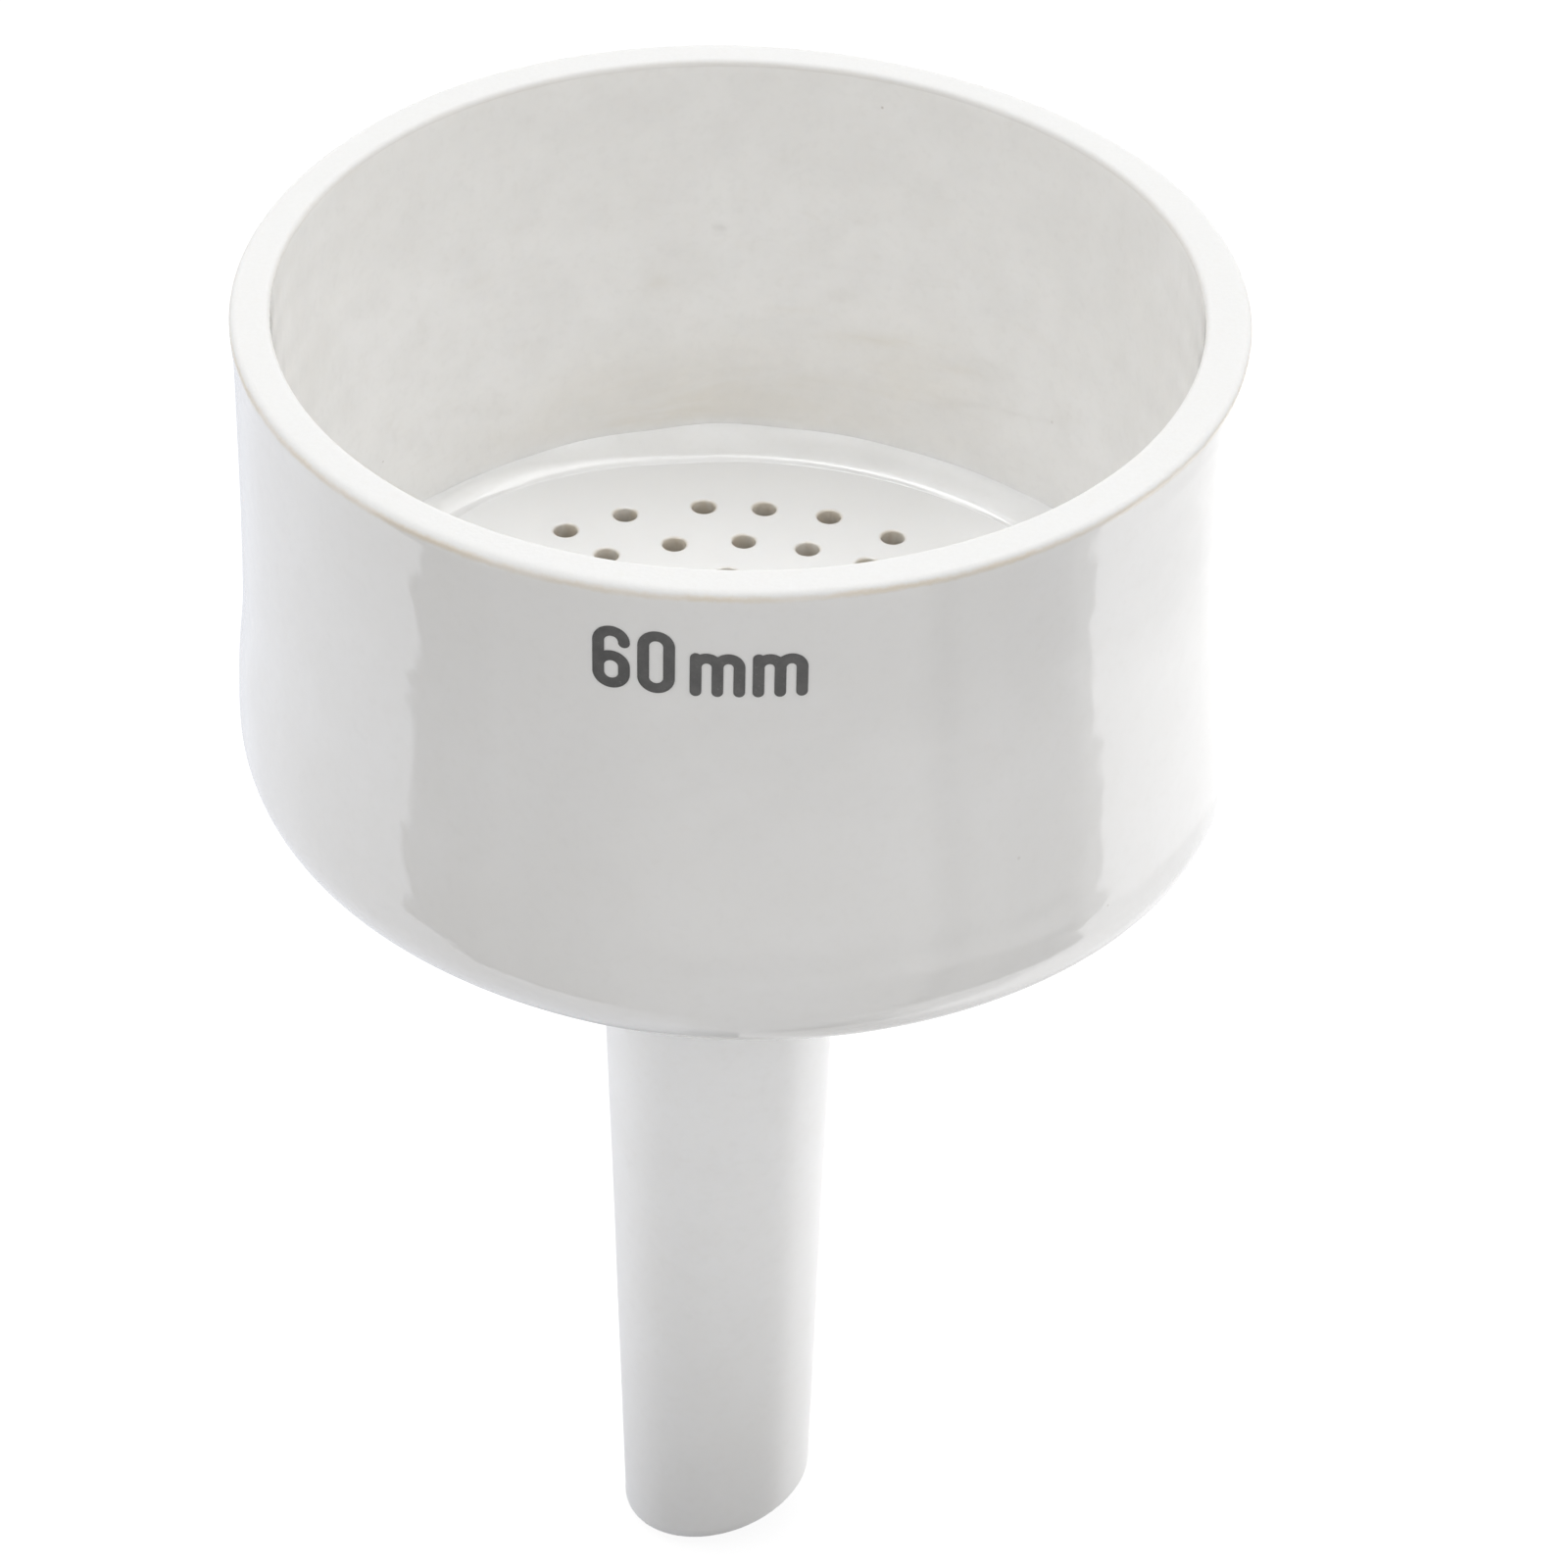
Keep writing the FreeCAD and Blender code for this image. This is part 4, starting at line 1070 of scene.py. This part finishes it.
def porcelain(name, tint, shift, inner_tint=None, features=(), rough=0.055, wavy=0.16):
    """Clear-glazed white porcelain: a diffuse, faintly translucent body under a smooth glaze.
    shift moves the textures; features name the mesh attributes' effects to add."""
    material, nodes = new_material(name)
    position = nodes.add("NewGeometry").outputs["Position"]
    where = nodes.vector("ADD", position, shift)
    base = body_colour(nodes, where, tint, inner_tint, features)
    base = specked(nodes, where, base)
    # hole colours, and painted shade towards the back of the plate
    if "hole" in features:
        base = hole_tints_and_back_shade(nodes, position, where, base, tint)
    # glaze surface: soft waves and the faint orange peel of a fired glaze
    ripple = nodes.noise(where, scale=120.0)
    flow = nodes.noise(where, scale=300.0, detail=1.0)
    peel = nodes.noise(where, scale=900.0)
    waves = nodes.times_plus(peel, factor=0.05, offset=ripple)
    waves = nodes.times_plus(flow, factor=0.30, offset=waves)
    normal = nodes.bump(strength=wavy, distance=0.0006, height=waves)
    gloss = nodes.times_plus(nodes.noise(where, scale=180.0, detail=3.0, rough=0.6),
                             factor=0.05, offset=rough - 0.02)
    glaze = nodes.add("BsdfPrincipled", {
        "Roughness": gloss, "IOR": 1.52, "Normal": normal, "Subsurface Weight": 0.12,
        "Subsurface Radius": (1.0, 0.92, 0.8), "Subsurface Scale": 0.0012})
    shader = glaze.outputs[0]
    if "bare_rim" in features:
        base, shader = bare_rim(nodes, where, base, shader)
    nodes.feed(glaze.inputs["Base Color"], base)
    nodes.finish(shader)
    return material


def plain_surface(nodes, colour, rough, ior, normal):
    nodes.finish(nodes.add("BsdfPrincipled", {"Base Color": colour, "Roughness": rough, "IOR": ior,
                                              "Normal": normal}).outputs[0])


def fired_slip():
    """Fired slip inside the joints: matt, slightly warm and grainy."""
    pale, dark, clump = (0.86, 0.85, 0.81), (0.78, 0.765, 0.72), (0.74, 0.71, 0.64)
    material, nodes = new_material("fired_slip")
    position = nodes.add("NewGeometry").outputs["Position"]
    grain = nodes.noise(position, scale=2600.0, detail=3.0, rough=0.6)
    clumps = nodes.noise(position, scale=500.0)
    colour = nodes.mix(nodes.ramp(grain, span=(0.3, 0.75)), pale, dark)
    colour = nodes.mix(nodes.ramp(clumps, span=(0.5, 0.8)), colour, clump, amount=0.4)
    normal = nodes.bump(strength=0.5, distance=0.0002, height=grain)
    plain_surface(nodes, colour, rough=0.75, ior=1.45, normal=normal)
    return material


def fired_grey():
    """Dark grey on-glaze colour: satin, faintly thin in places."""
    dense, light, thin = (0.060, 0.059, 0.058), (0.088, 0.086, 0.084), (0.20, 0.198, 0.195)
    material, nodes = new_material("fired_grey")
    position = nodes.add("NewGeometry").outputs["Position"]
    cloud = nodes.noise(position, scale=900.0, detail=3.0, rough=0.6)
    grain = nodes.noise(position, scale=4200.0, rough=0.6)
    colour = nodes.mix(nodes.ramp(cloud, span=(0.3, 0.75)), dense, light)
    colour = nodes.mix(nodes.ramp(grain, span=(0.62, 0.80)), colour, thin, amount=0.5)
    normal = nodes.bump(strength=0.15, distance=0.0001, height=grain)
    plain_surface(nodes, colour, rough=0.30, ior=1.5, normal=normal)
    return material


def assign(obj, material):
    obj.data.materials.clear()
    obj.data.materials.append(material)


PLATE_SHIFT, STEM_SHIFT = (1.1, 0.4, 0.2), (0.5, 0.9, 0.1)
# painted light: one glaze, made paler inside the bowl to stand in for the light falling into it
assign(bowl, porcelain("bowl_glaze", tint=(0.785, 0.778, 0.769), inner_tint=(0.872, 0.865, 0.852),
                       shift=(0.3, 0.1, 0.7), features=("stain", "bare_rim"),
                       rough=0.035, wavy=0.20))
assign(plate, porcelain("plate_glaze", tint=(0.935, 0.938, 0.937), shift=PLATE_SHIFT,
                        features=("hole",), wavy=0.10))
assign(fillet, porcelain("fillet_glaze", tint=(0.915, 0.916, 0.910), shift=PLATE_SHIFT,
                         rough=0.035, wavy=0.08))
# the stem's feature paints light onto its top and left side
assign(stem, porcelain("stem_glaze", tint=(0.918, 0.913, 0.908), inner_tint=(0.78, 0.77, 0.75),
                       shift=STEM_SHIFT, features=("painted_top_light",), rough=0.36))
assign(bead, porcelain("bead_glaze", tint=(0.820, 0.813, 0.805), shift=STEM_SHIFT, rough=0.20))
assign(mark, fired_grey())
slip = fired_slip()
for part in ("plate_bedding_slip", "stem_bedding_slip"):
    assign(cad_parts[part], slip)

# ----------------------------------------------------------------------------------------------
# Floor, light and camera (metres)
# ----------------------------------------------------------------------------------------------
WHITE = (1, 1, 1)
FLOOR_HALF, FLOOR_GAP = 6.0, 0.0001


def floor_material():
    material, nodes = new_material("pale_floor")
    is_camera = nodes.add("LightPath").outputs["Is Camera Ray"]
    geometry = nodes.add("NewGeometry").outputs
    # what lights the funnel from below: a painted shadow, darker near its foot, standing in for the
    # shade under the funnel
    reach = nodes.vector("LENGTH", geometry["Position"], out="Value")
    grey = nodes.grey(nodes.ramp(reach, span=(0.012, 0.070), to=(0.22, 0.62)))
    bounce = nodes.add("BsdfDiffuse", {"Color": grey}).outputs[0]
    # what the camera sees: a near-white table that keeps only a trace of the contact shadow
    diffuse = nodes.add("BsdfDiffuse", {"Color": (0.16, 0.16, 0.16)}).outputs[0]
    glow = nodes.add("Emission", {"Color": WHITE, "Strength": 0.90}).outputs[0]
    seen = nodes.add("AddShader", {0: diffuse, 1: glow}).outputs[0]
    clear = nodes.add("BsdfTransparent").outputs[0]
    solid = nodes.mix_shader(is_camera, bounce, seen)
    # from below the camera looks through it
    see_through = nodes.times(geometry["Backfacing"], is_camera)
    nodes.finish(nodes.mix_shader(see_through, solid, clear))
    return material


def build_floor():
    mesh = bpy.data.meshes.new("floor")
    half = FLOOR_HALF
    mesh.from_pydata([(-half, -half, 0), (half, -half, 0), (half, half, 0), (-half, half, 0)],
                     [], [(0, 1, 2, 3)])
    floor = bpy.data.objects.new("floor", mesh)
    bpy.context.scene.collection.objects.link(floor)
    floor.location.z = cad_lo.z - FLOOR_GAP
    mesh.materials.append(floor_material())
    floor.visible_glossy = False


def deg(*angles):
    return tuple(math.radians(angle) for angle in angles)


def side_sheets(nodes, x, y, z, azimuth):
    """Glow of the lit sheets at the left and the right, closing in below."""
    closing = nodes.ramp(z, span=(-0.88, -0.64), to=(0.80, 0.0))
    closing_left = nodes.ramp(z, span=(-0.86, -0.58), to=(0.90, 0.0))
    soft = nodes.ramp(z, span=(-0.90, -0.76), to=(0.50, 0.022))
    # turn past each sheet's edge, as a share of the edge's softness
    from_left = nodes.plus(nodes.minus(azimuth, closing_left), math.radians(79))
    from_left = nodes.math("DIVIDE", from_left, soft)
    from_right = nodes.minus(nodes.plus(azimuth, closing), math.radians(91))
    from_right = nodes.math("DIVIDE", from_right, soft)
    left = nodes.ramp(from_left, span=(-1.0, 1.0), to=(1.0, 0.0))
    right = nodes.ramp(from_right, span=(-1.0, 1.0))
    # the left sheet dims in two steps towards the back, the right one in a single step
    far_left = nodes.plus(nodes.ramp(azimuth, span=deg(-150, -118), to=(0.20, 0.0)),
                          nodes.ramp(azimuth, span=deg(-180, -148), to=(0.37, 0.0)))
    right_level = nodes.ramp(azimuth, span=deg(92, 135), to=(1.50, 0.72))
    left_level = nodes.minus(1.30, far_left)
    # straight below, and low down behind, the sheets give way to the plain middle
    wide = nodes.math("ABSOLUTE", nodes.minus(x, 0.12))
    inward = nodes.minus(1.0, nodes.ramp(wide, span=(0.03, 0.30)))
    beneath = nodes.times(nodes.ramp(z, span=(-0.74, -0.66), to=(1.0, 0.0)), inward)
    low_behind = nodes.times(nodes.ramp(y, span=(0.1, 0.3), to=(0.0, 0.5)),
                             nodes.ramp(z, span=(-0.4, -0.3), to=(1.0, 0.0)))
    behind = nodes.times(low_behind, nodes.minus(1.0, nodes.ramp(wide, span=(0.02, 0.20))))
    share = nodes.minus(1.0, nodes.math("MAXIMUM", beneath, behind))
    return (nodes.times(nodes.times(left, left_level), share),
            nodes.times(nodes.times(right, right_level), share))


def overhead_softbox(nodes, x, y, z):
    """A long softbox running left to right, brightest left, and a smaller one behind its left."""
    ends = nodes.ramp(nodes.math("ABSOLUTE", x), span=(0.78, 0.86), to=(1.0, 0.0))
    bar = nodes.times(nodes.band(y, rise=(-0.44, -0.38), fall=(-0.02, 0.05)),
                      nodes.times(ends, nodes.ramp(z, span=(0.30, 0.42))))
    strong = nodes.plus(nodes.ramp(x, span=(0.10, 0.35), to=(1.2, 3.2)),
                        nodes.ramp(x, span=(-0.22, 0.12), to=(4.9, 0.7)))
    second = nodes.times(nodes.band(y, rise=(0.28, 0.32), fall=(0.38, 0.44)),
                         nodes.times(nodes.ramp(x, span=(-0.30, -0.12), to=(1.0, 0.0)),
                                     nodes.ramp(z, span=(0.6, 0.7))))
    second_level = 1.8
    return nodes.times_plus(bar, factor=strong, offset=nodes.times(second, second_level))


def plain_middle(nodes, z, azimuth, above, softbox):
    """Everything between the sheets: a dark left flank, a lit front, a dip at the front right."""
    dark_flank = nodes.ramp(azimuth, span=deg(-61, -54), to=(0.05, 0.30))
    front = nodes.ramp(azimuth, span=deg(-48, -14), to=(0.0, 0.62))
    front = nodes.plus(front, nodes.times(nodes.ramp(azimuth, span=deg(-35, -5)),
                                          nodes.ramp(z, span=(-0.60, -0.535), to=(0.0, 0.50))))
    dip = nodes.band(azimuth, rise=deg(42, 50), fall=deg(80, 90), height=-0.66)
    dip = nodes.plus(dip, nodes.band(azimuth, rise=deg(51, 55), fall=deg(62, 66), height=0.22))
    around_level = nodes.plus(dark_flank, front)
    return nodes.plus(nodes.plus(around_level, nodes.plus(dip, above)), softbox)


def ambient_level(nodes, direction, x, z, azimuth):
    """A broad soft sky, stronger above and at the sides, with a bright lobe above the back."""
    lobe_direction = (0.02, 0.454, 0.891)
    toward = nodes.vector("DOT_PRODUCT", direction, lobe_direction, out="Value")
    sky = nodes.ramp(z, span=(0.30, 0.62), to=(0.49, 0.90))
    turn = nodes.times_plus(nodes.math("SINE", azimuth), factor=0.05, offset=1.0)
    across = nodes.times(x, x)
    flank = nodes.times(nodes.ramp(across, span=(0.35, 0.9), to=(0.0, 0.62)),
                        nodes.ramp(z, span=(0.55, 0.25), to=(0.0, 1.0)))
    high_flank = nodes.times(nodes.ramp(across, span=(0.12, 0.45), to=(0.0, 0.42)),
                             nodes.ramp(z, span=(0.36, 0.55), to=(0.0, 1.0)))
    flank = nodes.plus(flank, high_flank)
    lobe = nodes.ramp(toward, span=(0.88, 0.975), to=(0.0, 2.45))
    level = nodes.plus(nodes.times(nodes.plus(sky, flank), turn), lobe)
    overall = 0.97
    return nodes.times(level, overall)


def build_world():
    """Separate surroundings for mirror rays, for lighting and for the camera."""
    world = bpy.data.worlds.new("studio")
    bpy.context.scene.world = world
    world.use_nodes = True
    nodes = Nodes(world.node_tree, output="OutputWorld")

    def background(colour, strength):
        return nodes.add("Background", {"Color": colour, "Strength": strength}).outputs[0]

    def tinted(colour, glow):
        return nodes.add("VectorMath", {0: colour, "Scale": glow}, operation="SCALE").outputs[0]

    direction = nodes.add("TexCoord").outputs["Generated"]
    x, y, z = nodes.add("SeparateXYZ", {0: direction}).outputs
    # azimuth from the camera's side, positive to the right
    azimuth = nodes.math("ARCTAN2", x, nodes.times(y, -1.0))
    left_glow, right_glow = side_sheets(nodes, x, y, z, azimuth)
    above = nodes.ramp(z, span=(0.15, 0.45), to=(0.0, 0.75))
    softbox = overhead_softbox(nodes, x, y, z)
    plain = nodes.grey(plain_middle(nodes, z, azimuth, above, softbox))
    # the left sheet is the cooler one
    left = tinted((0.955, 0.98, 1.05), left_glow)
    right = tinted((0.985, 0.99, 1.01), right_glow)
    mirrored = nodes.vector("ADD", nodes.vector("ADD", plain, left), right)
    glossy = background(mirrored, strength=1.0)
    ambient = background(WHITE, strength=ambient_level(nodes, direction, x, z, azimuth))
    backdrop = background(WHITE, strength=1.05)
    path = nodes.add("LightPath").outputs
    lighting = nodes.mix_shader(path["Is Glossy Ray"], ambient, glossy)
    nodes.finish(nodes.mix_shader(path["Is Camera Ray"], lighting, backdrop))


def build_camera():
    """Camera in front of the funnel and above it, looking back and down."""
    data = bpy.data.cameras.new("camera")
    camera = bpy.data.objects.new("camera", data)
    bpy.context.scene.collection.objects.link(camera)
    data.sensor_width = 36.0
    data.lens = 161.181675
    data.clip_start, data.clip_end = 0.02, 20.0
    right = Vector((0.99980233, 0.01180225, 0.01600035))
    up = Vector((-0.01988226, 0.59348952, 0.8045961))
    view = Vector((0.0, 0.80475518, -0.59360686))
    place = Vector((0.00328407, -0.38036055, 0.24242118 + Z_RIM * MM))
    turn = Matrix((right, up, -view)).transposed()
    camera.matrix_world = Matrix.Translation(place) @ turn.to_4x4()
    bpy.context.scene.camera = camera


build_floor()
build_world()
build_camera()

view_settings = bpy.context.scene.view_settings
view_settings.view_transform = "Standard"
view_settings.look = "None"
view_settings.exposure = 0.0
view_settings.gamma = 1.0
